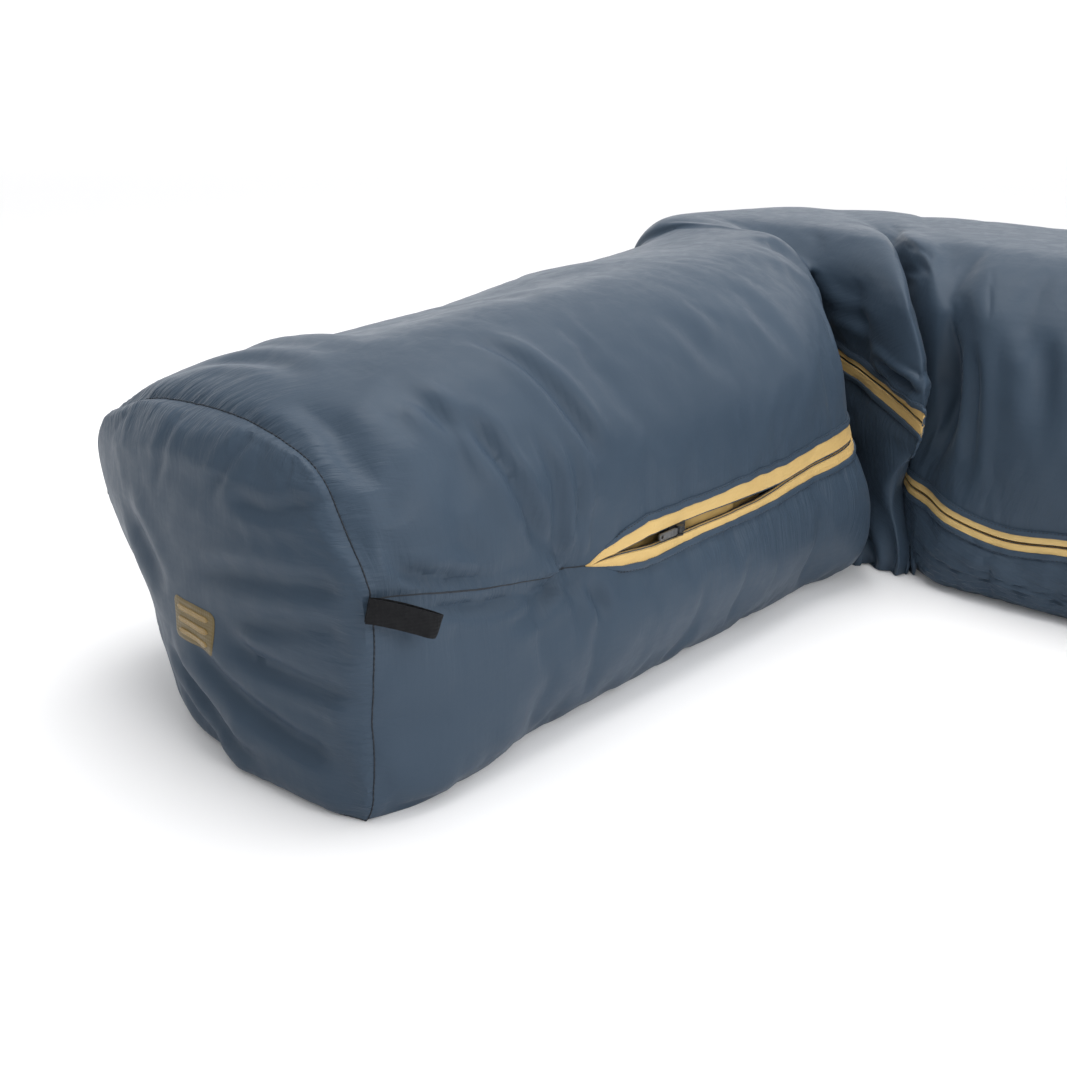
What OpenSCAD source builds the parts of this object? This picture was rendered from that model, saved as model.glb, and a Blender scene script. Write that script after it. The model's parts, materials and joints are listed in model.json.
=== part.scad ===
// Camp quilt in the form of a hoodless sleeping bag: box foot, two-way side zip, open head end.
// It lies bent at the knee: the leg section runs along +Y, the torso section along +X.
// Outer shell, insulation and lining are separate panels, split at the side seam into an upper and a lower half.

/* [Leg section] */
// Width of the leg section across the outer shell
leg_w = 410; // [380:5:440]
// Loft height of the bag
bag_h = 330; // [310:5:350]
// Radius of the rounded long edges
edge_r = 95; // [80:5:110]
// Length of the leg section on the zip side, from the foot end to the inner corner of the bend
leg_len = 695; // [680:5:720]
// Sphere radius of the domed foot end
dome_r = 700; // [600:50:900]
// How far the foot end domes out past the foot seam
dome_out = 35; // [25:1:40]

/* [Torso section] */
// Length of the torso section on the zip side, from the inner corner to the head end
torso_len = 690; // [670:5:760]
// Extra width of the torso section at the head end, over its width at the bend
shoulder_extra = 75; // [40:5:100]
// Radius of the long edges of the torso section, which lies flatter
torso_edge_r = 60; // [56:1:70]
// Height of the zip on the torso section: this half has rolled, so its zip lies lower than the leg's
torso_zip_z = 85; // [85:1:100]
// How far the torso section's side-seam plane is rolled about the section's length, in degrees
torso_roll = 19; // [15:1:21]

/* [Quilt layers] */
// Thickness that stands for the outer shell fabric
shell_t = 1.2; // [0.8:0.2:2]
// Thickness of the insulation batt
fill_t = 32; // [25:1:36]
// Thickness that stands for the lining fabric
lining_t = 0.8; // [0.6:0.2:1.2]
// Gap between the leg and torso halves at the mitre of the bend
mitre_gap = 1.2; // [0.8:0.2:3]

/* [Side zip] */
// Height of the side seam of the leg section above the ground
seam_z = 150; // [142:1:158]
// Height of the zip on the leg section, which sags a little below the seam's ends
leg_zip_z = 142; // [138:1:150]
// Distance of the zip's foot end from the foot seam
zip_start = 206; // [200:2:230]
// Width of the slot in the side seam that the zip closes
zip_slot = 36; // [34:1:40]
// Radius of each coil chain
coil_r = 1.2; // [1.0:0.1:1.3]
// Free gap between the two coil chains
coil_gap = 2.6; // [2.6:0.1:2.8]
// Thickness of the zip tape
tape_t = 1.0; // [0.8:0.1:1.2]
// Position of the foot slider along the zip, from the foot seam
foot_slider_at = 350; // [320:5:400]
// Distance of the head slider from the head end
head_slider_back = 50; // [48:1:80]

/* [Small parts] */
// Width of the webbing of the hang loops
webbing_w = 20; // [18:1:25]
// Length of a hang loop
loop_len = 53; // [45:1:60]
// Gap inside a hang loop
loop_gap = 7; // [7:0.5:9]
// Angle of the zip-side hang loop off the side of the bag
loop_right_angle = 32; // [28:1:60]
// Angle of the far-side hang loop off the side of the bag
loop_left_angle = 10; // [8:1:12]
// How far the far-side hang loop is sewn back from the foot seam
loop_left_back = 48; // [20:1:60]
// Width of the embroidered foot patch
patch_w = 70; // [50:1:80]
// Height of the embroidered foot patch
patch_h = 40; // [30:1:50]

/* [Hidden] */

slate = [0.33, 0.39, 0.46];
slate_dark = [0.27, 0.32, 0.39];
lining_c = [0.16, 0.17, 0.20];
fill_c = [0.93, 0.93, 0.90];
gold = [0.84, 0.67, 0.38];
tan_c = [0.66, 0.52, 0.30];
black = [0.08, 0.08, 0.09];
metal = [0.32, 0.34, 0.37];

// the inner corner of the bend, on the zip side
ix = 15;
iy = leg_len;
// the outer corner of the bend, where the knee turns
ox = ix - leg_w;
oy = iy + leg_w;
// the head end
hx = ix + torso_len;
// the part's origin: the middle of its box, on the ground
ply = 1.2;
patch_z = 118;
mid_z = bag_h / 2;
box_x0 = ox - 4.5 - sin(loop_left_angle) * (loop_len - loop_gap / 2 - ply) - loop_gap / 2 - ply;
box_x1 = hx + 2.5;
box_y0 = dome_r - dome_out - sqrt(pow(dome_r + 1.2, 2) - pow(mid_z - patch_z - patch_h / 2, 2));
box_y1 = oy + shoulder_extra;
cx = (box_x0 + box_x1) / 2;
cy = (box_y0 + box_y1) / 2;

wall = shell_t + fill_t + lining_t;
slot_lo = seam_z - zip_slot / 2;
slot_hi = seam_z + zip_slot / 2;
coil_z = coil_gap / 2 + coil_r;
cap_flat = 30;
far = 3000;

module place() { translate([-cx, -cy, 0]) children(); }

// rounded rectangle from (x0, z0) to (x1, z1)
module rrect(x0, z0, x1, z1, r) {
  translate([x0 + r, z0]) square([x1 - x0 - 2 * r, z1 - z0]);
  translate([x0, z0 + r]) square([x1 - x0, z1 - z0 - 2 * r]);
  for (x = [x0 + r, x1 - r], z = [z0 + r, z1 - r]) translate([x, z]) circle(r = r, $fn = 64);
}

// leg section as a solid, inset by d
module leg_env(d) {
  translate([0, oy + 5, 0]) rotate([90, 0, 0]) linear_extrude(height = oy + 65)
    rrect(ox + d, d, ix - d, bag_h - d, edge_r - d);
}

// torso section as a solid, inset by d: straight on the zip side, widening towards the head end on the other
module torso_env(d, xend = hx) {
  intersection() {
    translate([ox - 5, 0, 0]) rotate([90, 0, 90]) linear_extrude(height = xend - ox + 5)
      rrect(iy + d, d, far, bag_h - d, torso_edge_r - d);
    translate([ox, oy, 0]) rotate([0, 0, atan(shoulder_extra / (hx - ox))])
      translate([-far, 0, 0]) rotate([90, 0, 90]) linear_extrude(height = 2 * far)
        rrect(-far, d, -d, bag_h - d, torso_edge_r - d);
  }
}

module leg_side() {
  translate([ox, oy, 0]) rotate([0, 0, 45]) translate([-far - mitre_gap / 2, -far, -far]) cube([far, 2 * far, 2 * far]);
}
module torso_side() {
  translate([ox, oy, 0]) rotate([0, 0, 45]) translate([mitre_gap / 2, -far, -far]) cube([far, 2 * far, 2 * far]);
}
module above() { translate([-far, -far, seam_z]) cube([2 * far, 2 * far, far]); }
module below() { translate([-far, -far, seam_z - far]) cube([2 * far, 2 * far, far]); }
module torso_above() { translate([0, iy, torso_zip_z]) rotate([torso_roll, 0, 0]) translate([-far, -far, 0]) cube([2 * far, 2 * far, far]); }
module torso_below() { translate([0, iy, torso_zip_z]) rotate([torso_roll, 0, 0]) translate([-far, -far, -far]) cube([2 * far, 2 * far, far]); }
module behind_y(y) { translate([-far, y, -far]) cube([2 * far, far, 2 * far]); }
module dome(inset) { translate([(ox + ix) / 2, dome_r - dome_out, mid_z]) sphere(r = dome_r - inset, $fn = 128); }

// the side zip is drawn once, along +Y with its outside facing +X and the shell's face at x = 0, then placed twice
module on_leg() { translate([ix, 0, leg_zip_z - seam_z]) children(); }
module on_torso() { translate([0, iy, torso_zip_z - seam_z]) rotate([0, 0, -90]) children(); }
module slot(s0, s1) { translate([-wall - 6, s0, slot_lo]) cube([wall + 10, s1 - s0, zip_slot]); }

module leg_slot() { on_leg() slot(zip_start, far); }
module torso_slot() { on_torso() slot(-far, far); }

// ---- quilt panels ----
module foot_shell() color(slate)
  intersection() {
    difference() {
      leg_env(0);
      dome(shell_t);
    }
    dome(0);
    translate([-far, -200, -far]) cube([2 * far, 300, 2 * far]);
  }

module foot_fill() color(fill_c)
  difference() {
    intersection() { leg_env(shell_t); dome(shell_t); }
    behind_y(cap_flat);
  }

module foot_lining() color(lining_c)
  difference() {
    intersection() { leg_env(shell_t + fill_t); behind_y(cap_flat); }
    behind_y(cap_flat + lining_t);
  }

module leg_tube_shell() {
  difference() {
    intersection() { leg_env(0); dome(shell_t); leg_side(); }
    leg_env(shell_t);
    leg_slot();
  }
}
module leg_tube(d0, d1, y0) {
  difference() {
    intersection() { leg_env(d0); behind_y(y0); leg_side(); }
    leg_env(d1);
    leg_slot();
  }
}
module leg_upper_shell() color(slate) intersection() { leg_tube_shell(); above(); }
module leg_lower_shell() color(slate_dark) intersection() { leg_tube_shell(); below(); }
module leg_upper_fill() color(fill_c) intersection() { leg_tube(shell_t, shell_t + fill_t, cap_flat); above(); }
module leg_lower_fill() color(fill_c) intersection() { leg_tube(shell_t, shell_t + fill_t, cap_flat); below(); }
module leg_upper_lining() color(lining_c) intersection() { leg_tube(shell_t + fill_t, wall, cap_flat + lining_t); above(); }
module leg_lower_lining() color(lining_c) intersection() { leg_tube(shell_t + fill_t, wall, cap_flat + lining_t); below(); }

module torso_tube(d0, d1) {
  difference() {
    intersection() { torso_env(d0); torso_side(); }
    torso_env(d1, hx + 5);
    torso_slot();
  }
}
module torso_upper_shell() color(slate) intersection() { torso_tube(0, shell_t); torso_above(); }
module torso_lower_shell() color(slate_dark) intersection() { torso_tube(0, shell_t); torso_below(); }
module torso_upper_fill() color(fill_c) intersection() { torso_tube(shell_t, shell_t + fill_t); torso_above(); }
module torso_lower_fill() color(fill_c) intersection() { torso_tube(shell_t, shell_t + fill_t); torso_below(); }
module torso_upper_lining() color(lining_c) intersection() { torso_tube(shell_t + fill_t, wall); torso_above(); }
module torso_lower_lining() color(lining_c) intersection() { torso_tube(shell_t + fill_t, wall); torso_below(); }

// bound hem round the open head end
module head_hem_ring() {
  difference() {
    intersection() {
      torso_env(1, hx + 2.5);
      translate([hx, -far, -far]) cube([far, 2 * far, 2 * far]);
    }
    torso_env(wall + 1, hx + 10);
    torso_slot();
  }
}
module head_hem_upper() color(slate_dark) intersection() { head_hem_ring(); torso_above(); }
module head_hem_lower() color(slate_dark) intersection() { head_hem_ring(); torso_below(); }

// ---- side zip ----
module draft_tube(s0, s1) {
  h = zip_slot - 1;
  w = wall - 8.5;
  r = w / 2;
  translate([-wall, s1, seam_z]) rotate([90, 0, 0]) linear_extrude(height = s1 - s0) {
    translate([r, h / 2 - r]) circle(r = r, $fn = 48);
    translate([r, r - h / 2]) circle(r = r, $fn = 48);
    translate([0, r - h / 2]) square([w, h - 2 * r]);
  }
}
module leg_draft_tube() color(tan_c) intersection() { on_leg() draft_tube(zip_start + 1, 900); leg_side(); }
module torso_draft_tube() color(tan_c) intersection() { on_torso() draft_tube(-100, hx); torso_side(); }

// one coil chain, up = 1 above the seam and -1 below it
module coil(s0, s1, up, r = coil_r) {
  translate([-1.7, s1, seam_z + up * coil_z]) rotate([90, 0, 0]) cylinder(r = r, h = s1 - s0, $fn = 24);
}
module tape(s0, s1, up) {
  lo = up > 0 ? seam_z + coil_z : slot_lo;
  difference() {
    translate([-1.2 - tape_t, s0, lo]) cube([tape_t, s1 - s0, zip_slot / 2 - coil_z]);
    coil(s0 - 1, s1 + 1, up);
  }
}
module leg_zip_tape_upper() color(gold) intersection() { on_leg() tape(zip_start, 900, 1); leg_side(); }
module leg_zip_tape_lower() color(gold) intersection() { on_leg() tape(zip_start, 900, -1); leg_side(); }
module torso_zip_tape_upper() color(gold) intersection() { on_torso() tape(-100, hx - 2, 1); torso_side(); }
module torso_zip_tape_lower() color(gold) intersection() { on_torso() tape(-100, hx - 2, -1); torso_side(); }
module leg_zip_coil_upper() color(black) intersection() { on_leg() coil(zip_start + 10, 900, 1); leg_side(); }
module leg_zip_coil_lower() color(black) intersection() { on_leg() coil(zip_start + 10, 900, -1); leg_side(); }
module torso_zip_coil_upper() color(black) intersection() { on_torso() coil(-100, hx - 34, 1); torso_side(); }
module torso_zip_coil_lower() color(black) intersection() { on_torso() coil(-100, hx - 34, -1); torso_side(); }
module zip_foot_stop() color(black)
  on_leg() translate([-4.2, zip_start + 4, seam_z - coil_z]) cube([5, 5, 2 * coil_z]);
module zip_head_stops() color(black)
  for (up = [-1, 1]) on_torso() translate([-4, hx - 33.5, seam_z + up * coil_z - 1.4]) {
    cube([1.8, 4, 2.8]);
    translate([2.8, 0, 0]) cube([1.8, 4, 2.8]);
  }

// slider body: two plates, the post between the chains, side lips and two ears for the pull
slider_l = 24;
pin_x = 6.2;
pin_r = 1.0;
module plate2(w, l) {
  translate([-w / 2 + 2, 0]) square([w - 4, l]);
  translate([-w / 2, 2]) square([w, l - 4]);
  for (x = [-w / 2 + 2, w / 2 - 2], y = [2, l - 2]) translate([x, y]) circle(r = 2, $fn = 24);
}
module slider(s) {
  translate([0, s, seam_z]) difference() {
    union() {
      for (x = [-7, 0.9]) translate([x, slider_l / 2, 0]) rotate([90, 0, 90]) translate([-slider_l, 0, 0]) rotate([0, 0, 90]) mirror([0, 1, 0]) linear_extrude(height = 2.4) plate2(11, slider_l);
      translate([-5, -slider_l / 2 + 1.5, -1]) cube([6.2, 9, 2]);
      for (up = [-1, 1]) {
        translate([-5, -slider_l / 2 + 3, up * 4.8 - 0.5]) cube([1, slider_l - 6, 1]);
        translate([-0.1, -slider_l / 2 + 3, up * 4.8 - 0.5]) cube([1.2, slider_l - 6, 1]);
        translate([3, -3.4, up * 3.9 - 0.7]) cube([pin_x - 3, 6.8, 1.4]);
        translate([pin_x, 0, up * 3.9 - 0.7]) cylinder(r = 3.4, h = 1.4, $fn = 32);
      }
    }
    translate([pin_x, 0, -8]) cylinder(r = pin_r + 0.05, h = 16, $fn = 32);
  }
}
// pull: pin, hub and a tab that lies along the zip towards the foot
module pull(s) {
  translate([pin_x, s, seam_z]) {
    difference() {
      union() {
        translate([0, 0, -4.6]) cylinder(r = pin_r, h = 9.2, $fn = 32);
        translate([0, 0, -2.9]) cylinder(r = 2, h = 5.8, $fn = 32);
        translate([-0.9, -6, -2.9]) cube([1.8, 6, 5.8]);
        translate([-0.9, -27, -3.2]) cube([1.8, 21.5, 6.4]);
        translate([-0.9, -27, 0]) rotate([0, 90, 0]) cylinder(r = 3.2, h = 1.8, $fn = 32);
      }
      translate([-2, -26, 0]) rotate([0, 90, 0]) cylinder(r = 1.8, h = 4, $fn = 32);
    }
  }
}
module foot_slider() color(black) on_leg() slider(foot_slider_at);
module foot_pull() color(metal) on_leg() pull(foot_slider_at);
module head_slider() color(black) on_torso() slider(hx - head_slider_back);
module head_pull() color(metal) on_torso() pull(hx - head_slider_back);

// ---- hang loops of folded webbing, drawn along +Y from the seam ----
module loop2() {
  ro = loop_gap / 2 + ply;
  ri = loop_gap / 2;
  y1 = loop_len - ro;
  difference() {
    union() {
      translate([-ro, 6]) square([2 * ro, y1 - 6]);
      translate([0, y1]) circle(r = ro, $fn = 48);
      polygon([[-1.6, 0], [1.6, 0], [ro, 6.01], [-ro, 6.01]]);
      circle(r = 1.6, $fn = 24);
    }
    translate([-ri, 6]) square([2 * ri, y1 - 6]);
    translate([0, y1]) circle(r = ri, $fn = 48);
    polygon([[-0.4, 2.4], [0.4, 2.4], [ri, 6.02], [-ri, 6.02]]);
  }
}
module hang_loop(a) { rotate([0, 0, a]) translate([0, 0, mid_z - webbing_w / 2]) linear_extrude(height = webbing_w) loop2(); }
module hang_loop_right() color(black) translate([ix + 4.5, 0, 0]) hang_loop(-loop_right_angle);
module hang_loop_left() color(black) translate([ox - 4.5, loop_left_back, 0]) hang_loop(loop_left_angle);

// ---- closure tab over the head end of the zip ----
tab_w = 24;
tab_x = hx - 28;
tab_z = torso_zip_z + 26.3;
tab_h = 55.3;
module closure_tab() color(slate)
  translate([tab_x, iy - 3.8, tab_z]) {
    translate([0, 0, -tab_h]) cube([tab_w, 1.4, tab_h]);
    translate([0, 0.7, 0]) rotate([0, 90, 0]) cylinder(r = 0.7, h = tab_w, $fn = 24);
  }
module tab_hook_patch() color(black) translate([tab_x + 2, iy - 2.4, tab_z - 52.3]) cube([tab_w - 4, 0.8, 7.6]);
module tab_loop_patch() color(black) translate([tab_x + 2, iy - 1.2, tab_z - 52.3]) cube([tab_w - 4, 1.2, 7.6]);

// ---- embroidered patch on the domed foot end ----
module foot_patch() color(gold)
  intersection() {
    difference() { dome(-1.2); dome(0); }
    translate([(ox + ix) / 2 + 12, 0, patch_z]) rotate([90, 0, 0]) linear_extrude(height = 100)
      rrect(-patch_w / 2, -patch_h / 2, patch_w / 2, patch_h / 2, 8);
  }

place() foot_shell();
place() foot_fill();
place() foot_lining();
place() leg_upper_shell();
place() leg_lower_shell();
place() leg_upper_fill();
place() leg_lower_fill();
place() leg_upper_lining();
place() leg_lower_lining();
place() torso_upper_shell();
place() torso_lower_shell();
place() torso_upper_fill();
place() torso_lower_fill();
place() torso_upper_lining();
place() torso_lower_lining();
place() leg_draft_tube();
place() torso_draft_tube();
place() leg_zip_tape_upper();
place() leg_zip_tape_lower();
place() torso_zip_tape_upper();
place() torso_zip_tape_lower();
place() leg_zip_coil_upper();
place() leg_zip_coil_lower();
place() torso_zip_coil_upper();
place() torso_zip_coil_lower();
place() zip_foot_stop();
place() zip_head_stops();
place() foot_slider();
place() foot_pull();
place() head_slider();
place() head_pull();
place() hang_loop_right();
place() hang_loop_left();
place() closure_tab();
place() tab_hook_patch();
place() tab_loop_patch();
place() head_hem_upper();
place() head_hem_lower();
place() foot_patch();
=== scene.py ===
import json
import math

import bpy
import numpy as np
from mathutils import Matrix, Vector

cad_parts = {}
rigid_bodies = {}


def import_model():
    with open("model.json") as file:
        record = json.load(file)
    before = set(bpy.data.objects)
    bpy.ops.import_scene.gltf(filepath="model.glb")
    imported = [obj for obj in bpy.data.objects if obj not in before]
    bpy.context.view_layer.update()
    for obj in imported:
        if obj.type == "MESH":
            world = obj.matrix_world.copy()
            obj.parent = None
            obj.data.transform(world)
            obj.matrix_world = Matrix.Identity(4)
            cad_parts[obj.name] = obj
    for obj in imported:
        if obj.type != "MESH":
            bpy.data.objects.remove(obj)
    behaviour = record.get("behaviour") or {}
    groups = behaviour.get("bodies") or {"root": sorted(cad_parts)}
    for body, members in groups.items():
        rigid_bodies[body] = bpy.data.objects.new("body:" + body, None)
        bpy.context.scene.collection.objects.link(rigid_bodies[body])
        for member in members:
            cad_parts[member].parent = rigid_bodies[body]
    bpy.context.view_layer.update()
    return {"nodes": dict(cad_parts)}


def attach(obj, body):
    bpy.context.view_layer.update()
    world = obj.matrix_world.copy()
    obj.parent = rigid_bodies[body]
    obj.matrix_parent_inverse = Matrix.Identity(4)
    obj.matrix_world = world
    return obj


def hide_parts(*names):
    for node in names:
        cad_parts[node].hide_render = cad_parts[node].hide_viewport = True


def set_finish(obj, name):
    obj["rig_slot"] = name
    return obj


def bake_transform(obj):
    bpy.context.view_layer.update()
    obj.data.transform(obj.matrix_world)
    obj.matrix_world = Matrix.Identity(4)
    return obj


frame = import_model()
NODES = frame["nodes"]

# All shape numbers below are in metres in the drawing frame of part.scad, where the zip side of the foot end
# stands near x = 0.015 and the foot seam at y = 0. OFF moves them to the row frame.
OFF = np.array([-0.1474564, -0.5721600, 0.0])


# ------------------------------------------------------------------ small numeric tools
def tab(x, pairs):
    xs, ys = zip(*pairs)
    return np.interp(x, xs, ys)


def smooth(t):
    t = np.clip(t, 0.0, 1.0)
    return t * t * (3 - 2 * t)


def catmull(P, counts, closed):
    """Centripetal Catmull-Rom through P (n, ..., 3) along its first axis; counts = samples made for each span."""
    P = np.asarray(P, float)
    n = len(P)
    spans = n if closed else n - 1
    if closed:
        get = lambda i: P[i % n]
    else:
        first, last = 2 * P[0] - P[1], 2 * P[-1] - P[-2]
        get = lambda i: first if i < 0 else (last if i >= n else P[i])
    out = []
    for i in range(spans):
        p0, p1, p2, p3 = get(i - 1), get(i), get(i + 1), get(i + 2)
        d = lambda a, b: np.maximum(np.linalg.norm(b - a, axis=-1, keepdims=True), 1e-6) ** 0.5
        t1 = d(p0, p1)
        t2 = t1 + d(p1, p2)
        t3 = t2 + d(p2, p3)
        for k in range(counts[i]):
            t = t1 + (t2 - t1) * (k / counts[i])
            a1 = (t1 - t) / t1 * p0 + t / t1 * p1
            a2 = (t2 - t) / (t2 - t1) * p1 + (t - t1) / (t2 - t1) * p2
            a3 = (t3 - t) / (t3 - t2) * p2 + (t - t2) / (t3 - t2) * p3
            b1 = (t2 - t) / t2 * a1 + t / t2 * a2
            b2 = (t3 - t) / (t3 - t1) * a2 + (t - t1) / (t3 - t1) * a3
            out.append((t2 - t) / (t2 - t1) * b1 + (t - t1) / (t2 - t1) * b2)
    if not closed:
        out.append(P[-1])
    return np.array(out)


def hash3(i, j, k, seed):
    h = (i * 374761393 + j * 668265263 + k * 2147483647 + seed * 144665) & 0xFFFFFFFF
    h = ((h ^ (h >> 13)) * 1274126177) & 0xFFFFFFFF
    h = (h ^ (h >> 16)) & 0xFFFFFFFF
    return h


def noise(P, seed=0):
    """Gradient noise in about -1 to 1 at points P (..., 3)."""
    P = np.asarray(P, float)
    I = np.floor(P).astype(np.int64)
    F = P - I
    W = F * F * F * (F * (F * 6 - 15) + 10)
    tot = 0.0
    for a in (0, 1):
        for b in (0, 1):
            for c in (0, 1):
                h = hash3(I[..., 0] + a, I[..., 1] + b, I[..., 2] + c, seed)
                gx = ((h & 1023) / 511.5 - 1)
                gy = (((h >> 10) & 1023) / 511.5 - 1)
                gz = (((h >> 20) & 1023) / 511.5 - 1)
                d = gx * (F[..., 0] - a) + gy * (F[..., 1] - b) + gz * (F[..., 2] - c)
                w = (W[..., 0] if a else 1 - W[..., 0]) * (W[..., 1] if b else 1 - W[..., 1]) * (W[..., 2] if c else 1 - W[..., 2])
                tot = tot + d * w
    return tot * 1.3


def fbm(P, seed=0, octaves=3, gain=0.5):
    a, s, out = 1.0, 1.0, 0.0
    for o in range(octaves):
        out = out + a * noise(np.asarray(P) * s, seed + 17 * o)
        a *= gain
        s *= 2.03
    return out


def ridged(P, seed=0, octaves=2):
    """Creased noise, 0 in the open and 1 on thin crease lines."""
    out, a = 0.0, 1.0
    for o in range(octaves):
        out = out + a * (1 - np.clip(np.abs(noise(np.asarray(P) * (1.9 ** o), seed + 31 * o)) * 3.2, 0, 1)) ** 2
        a *= 0.5
    return out


def grid_normals(G, closed_cols):
    """Normals of a grid of points (rows, cols, 3)."""
    if closed_cols:
        dv = np.roll(G, -1, 1) - np.roll(G, 1, 1)
    else:
        dv = np.gradient(G, axis=1)
    du = np.gradient(G, axis=0)
    n = np.cross(du, dv)
    return n / np.maximum(np.linalg.norm(n, axis=-1, keepdims=True), 1e-12)


def blur(A, n, closed_cols):
    """Light smoothing of a field on a grid."""
    for _ in range(n):
        up = np.concatenate([A[:1], A[:-1]], 0)
        dn = np.concatenate([A[1:], A[-1:]], 0)
        if closed_cols:
            lf, rt = np.roll(A, 1, 1), np.roll(A, -1, 1)
        else:
            lf = np.concatenate([A[:, :1], A[:, :-1]], 1)
            rt = np.concatenate([A[:, 1:], A[:, -1:]], 1)
        A = 0.5 * A + 0.125 * (up + dn + lf + rt)
    return A


# ------------------------------------------------------------------ the body of the bag: a net of control sections
# Sixteen points go round each section: 0 zip seam, 1 upper zip side, 2 top inner edge, 3-5 top, 6 top outer edge,
# 7-9 outer side, 10 bottom outer edge, 11-13 underside, 14 bottom inner edge, 15 lower zip side.
COUNTS = [16, 18, 20, 22, 22, 18, 17, 17, 17, 18, 18, 20, 21, 23, 20, 15]
M = sum(COUNTS)
ROW = np.concatenate([[0], np.cumsum(COUNTS)])


def leg_section(y):
    zt = tab(y, [(0, .281), (.02, .288), (.05, .297), (.12, .309), (.2, .319), (.3, .326), (.45, .329), (.6, .330)])
    z6 = tab(y, [(0, .240), (.02, .241), (.07, .244), (.14, .250), (.21, .258), (.28, .266), (.4, .277), (.53, .284), (.65, .290)])
    z0 = tab(y, [(0, .181), (.04, .175), (.091, .162), (.146, .152), (.203, .143), (.25, .141), (.35, .1405), (.42, .139), (.5, .140), (.554, .146), (.62, .155)])
    x0 = tab(y, [(0, .013), (.06, .0175), (.12, .019), (.19, .016), (.22, .015), (.26, .0165), (.62, .0175)])
    x1 = tab(y, [(0, -.014), (.02, -.004), (.05, .007), (.1, .013), (.2, .017), (.62, .016)])
    z1 = tab(y, [(0, .226), (.05, .236), (.2, .243), (.62, .246)])
    x2 = tab(y, [(0, -.044), (.05, -.039), (.2, -.033), (.62, -.036)])
    z2 = tab(y, [(0, .263), (.05, .281), (.12, .291), (.25, .299), (.62, .302)])
    x15 = tab(y, [(0, .008), (.05, .019), (.12, .025), (.62, .025)])
    x14 = tab(y, [(0, .000), (.04, .010), (.08, .014), (.49, .016), (.62, .010)])
    z14 = tab(y, [(0, .002), (.1, .003), (.62, .004)])
    g = smooth(y / 0.12)
    return np.array([
        (x0, y, z0), (x1, y, z1), (x2, y, z2), (-.115, y, zt - .001), (-.20, y, zt - .004 * g), (-.292, y, zt - .022 * g - .012 * (1 - g)),
        (-.364, y, z6), (-.383 - .006 * g, y, .213 + .010 * g), (-.370 - .022 * g, y, .156 + .005 * g),
        (-.347 - .043 * g, y, .098), (-.302 - .048 * g, y, .036 - .004 * g), (-.25 - .02 * g, y, .004 - .003 * g),
        (-.18 - .01 * g, y, .0005), (-.095, y, .0005), (x14, y, z14), (x15, y, .088)])


def cap_recede(x):
    return .03 * np.clip(-x, 0, .4) / .39


def sec(*pts):
    return np.array(pts, float)


SECTIONS = []
for y in (0.0, .022, .06, .11, .17, .235, .30, .37, .44, .51, .575):
    s = leg_section(y)
    s[:, 1] += cap_recede(s[:, 0]) * (1 - smooth(y / .2))
    s[:, 1] -= .013 * smooth((.06 - s[:, 2]) / .06) * np.clip(np.sin(math.pi * np.clip(-s[:, 0] / .33, 0, 1)), 0, 1) * (1 - smooth(y / .08))
    if y > .5:
        s[:, 1] += .10 * smooth((y - .44) / .14) * np.clip(-s[:, 0], 0, .4) / .4 * .55
    SECTIONS.append(s)
NAMED = {}


def add(name, s):
    NAMED[name] = len(SECTIONS)
    SECTIONS.append(s)


R1 = sec((.017, .651, .160), (-.010, .662, .245), (-.050, .690, .300), (-.13, .735, .332), (-.22, .765, .337), (-.31, .785, .326),
         (-.370, .80, .298), (-.402, .805, .24), (-.405, .81, .16), (-.398, .81, .09), (-.36, .80, .025), (-.29, .79, .0005),
         (-.20, .765, .0005), (-.10, .73, .0005), (.000, .700, .004), (.034, .668, .085))
R1a = sec((-.018, .683, .176), (-.038, .688, .252), (-.070, .708, .304), (-.14, .755, .3335), (-.225, .785, .339), (-.313, .805, .333),
          (-.374, .825, .306), (-.403, .83, .24), (-.406, .835, .16), (-.399, .835, .09), (-.362, .82, .025), (-.293, .81, .0005),
          (-.21, .78, .0005), (-.10, .742, .0005), (-.014, .712, .004), (.006, .692, .09))
R1b = sec((-.065, .735, .200), (-.073, .735, .262), (-.092, .748, .302), (-.152, .778, .330), (-.23, .81, .339), (-.316, .84, .338),
          (-.376, .855, .311), (-.404, .86, .24), (-.408, .865, .16), (-.40, .865, .09), (-.363, .85, .025), (-.296, .83, .0005),
          (-.22, .80, .0005), (-.13, .76, .0005), (-.04, .735, .004), (-.045, .735, .09))
V1 = sec((-.155, .812, .228), (-.150, .808, .275), (-.125, .792, .303), (-.172, .805, .322), (-.24, .838, .335), (-.32, .875, .339),
         (-.378, .895, .312), (-.405, .90, .24), (-.41, .905, .16), (-.40, .905, .09), (-.365, .89, .025), (-.30, .86, .0005),
         (-.24, .835, .0005), (-.17, .80, .0005), (-.10, .772, .004), (-.145, .805, .12))
W2 = sec((-.043, .765, .207), (-.044, .766, .252), (-.052, .768, .294), (-.118, .818, .333), (-.205, .87, .342), (-.30, .928, .343),
         (-.370, .962, .315), (-.40, .975, .245), (-.405, .98, .165), (-.395, .978, .09), (-.358, .955, .025), (-.29, .91, .0005),
         (-.21, .865, .0005), (-.12, .81, .0005), (-.045, .758, .004), (-.045, .768, .11))
R2 = sec((.078, .690, .178), (.067, .698, .236), (.028, .722, .298), (-.060, .820, .341), (-.17, .90, .346), (-.28, .98, .346),
         (-.36, 1.03, .318), (-.39, 1.05, .25), (-.395, 1.055, .17), (-.385, 1.05, .09), (-.35, 1.02, .025), (-.28, .97, .0005),
         (-.18, .90, .0005), (-.08, .82, .0005), (.012, .735, .004), (.046, .713, .10))
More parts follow.
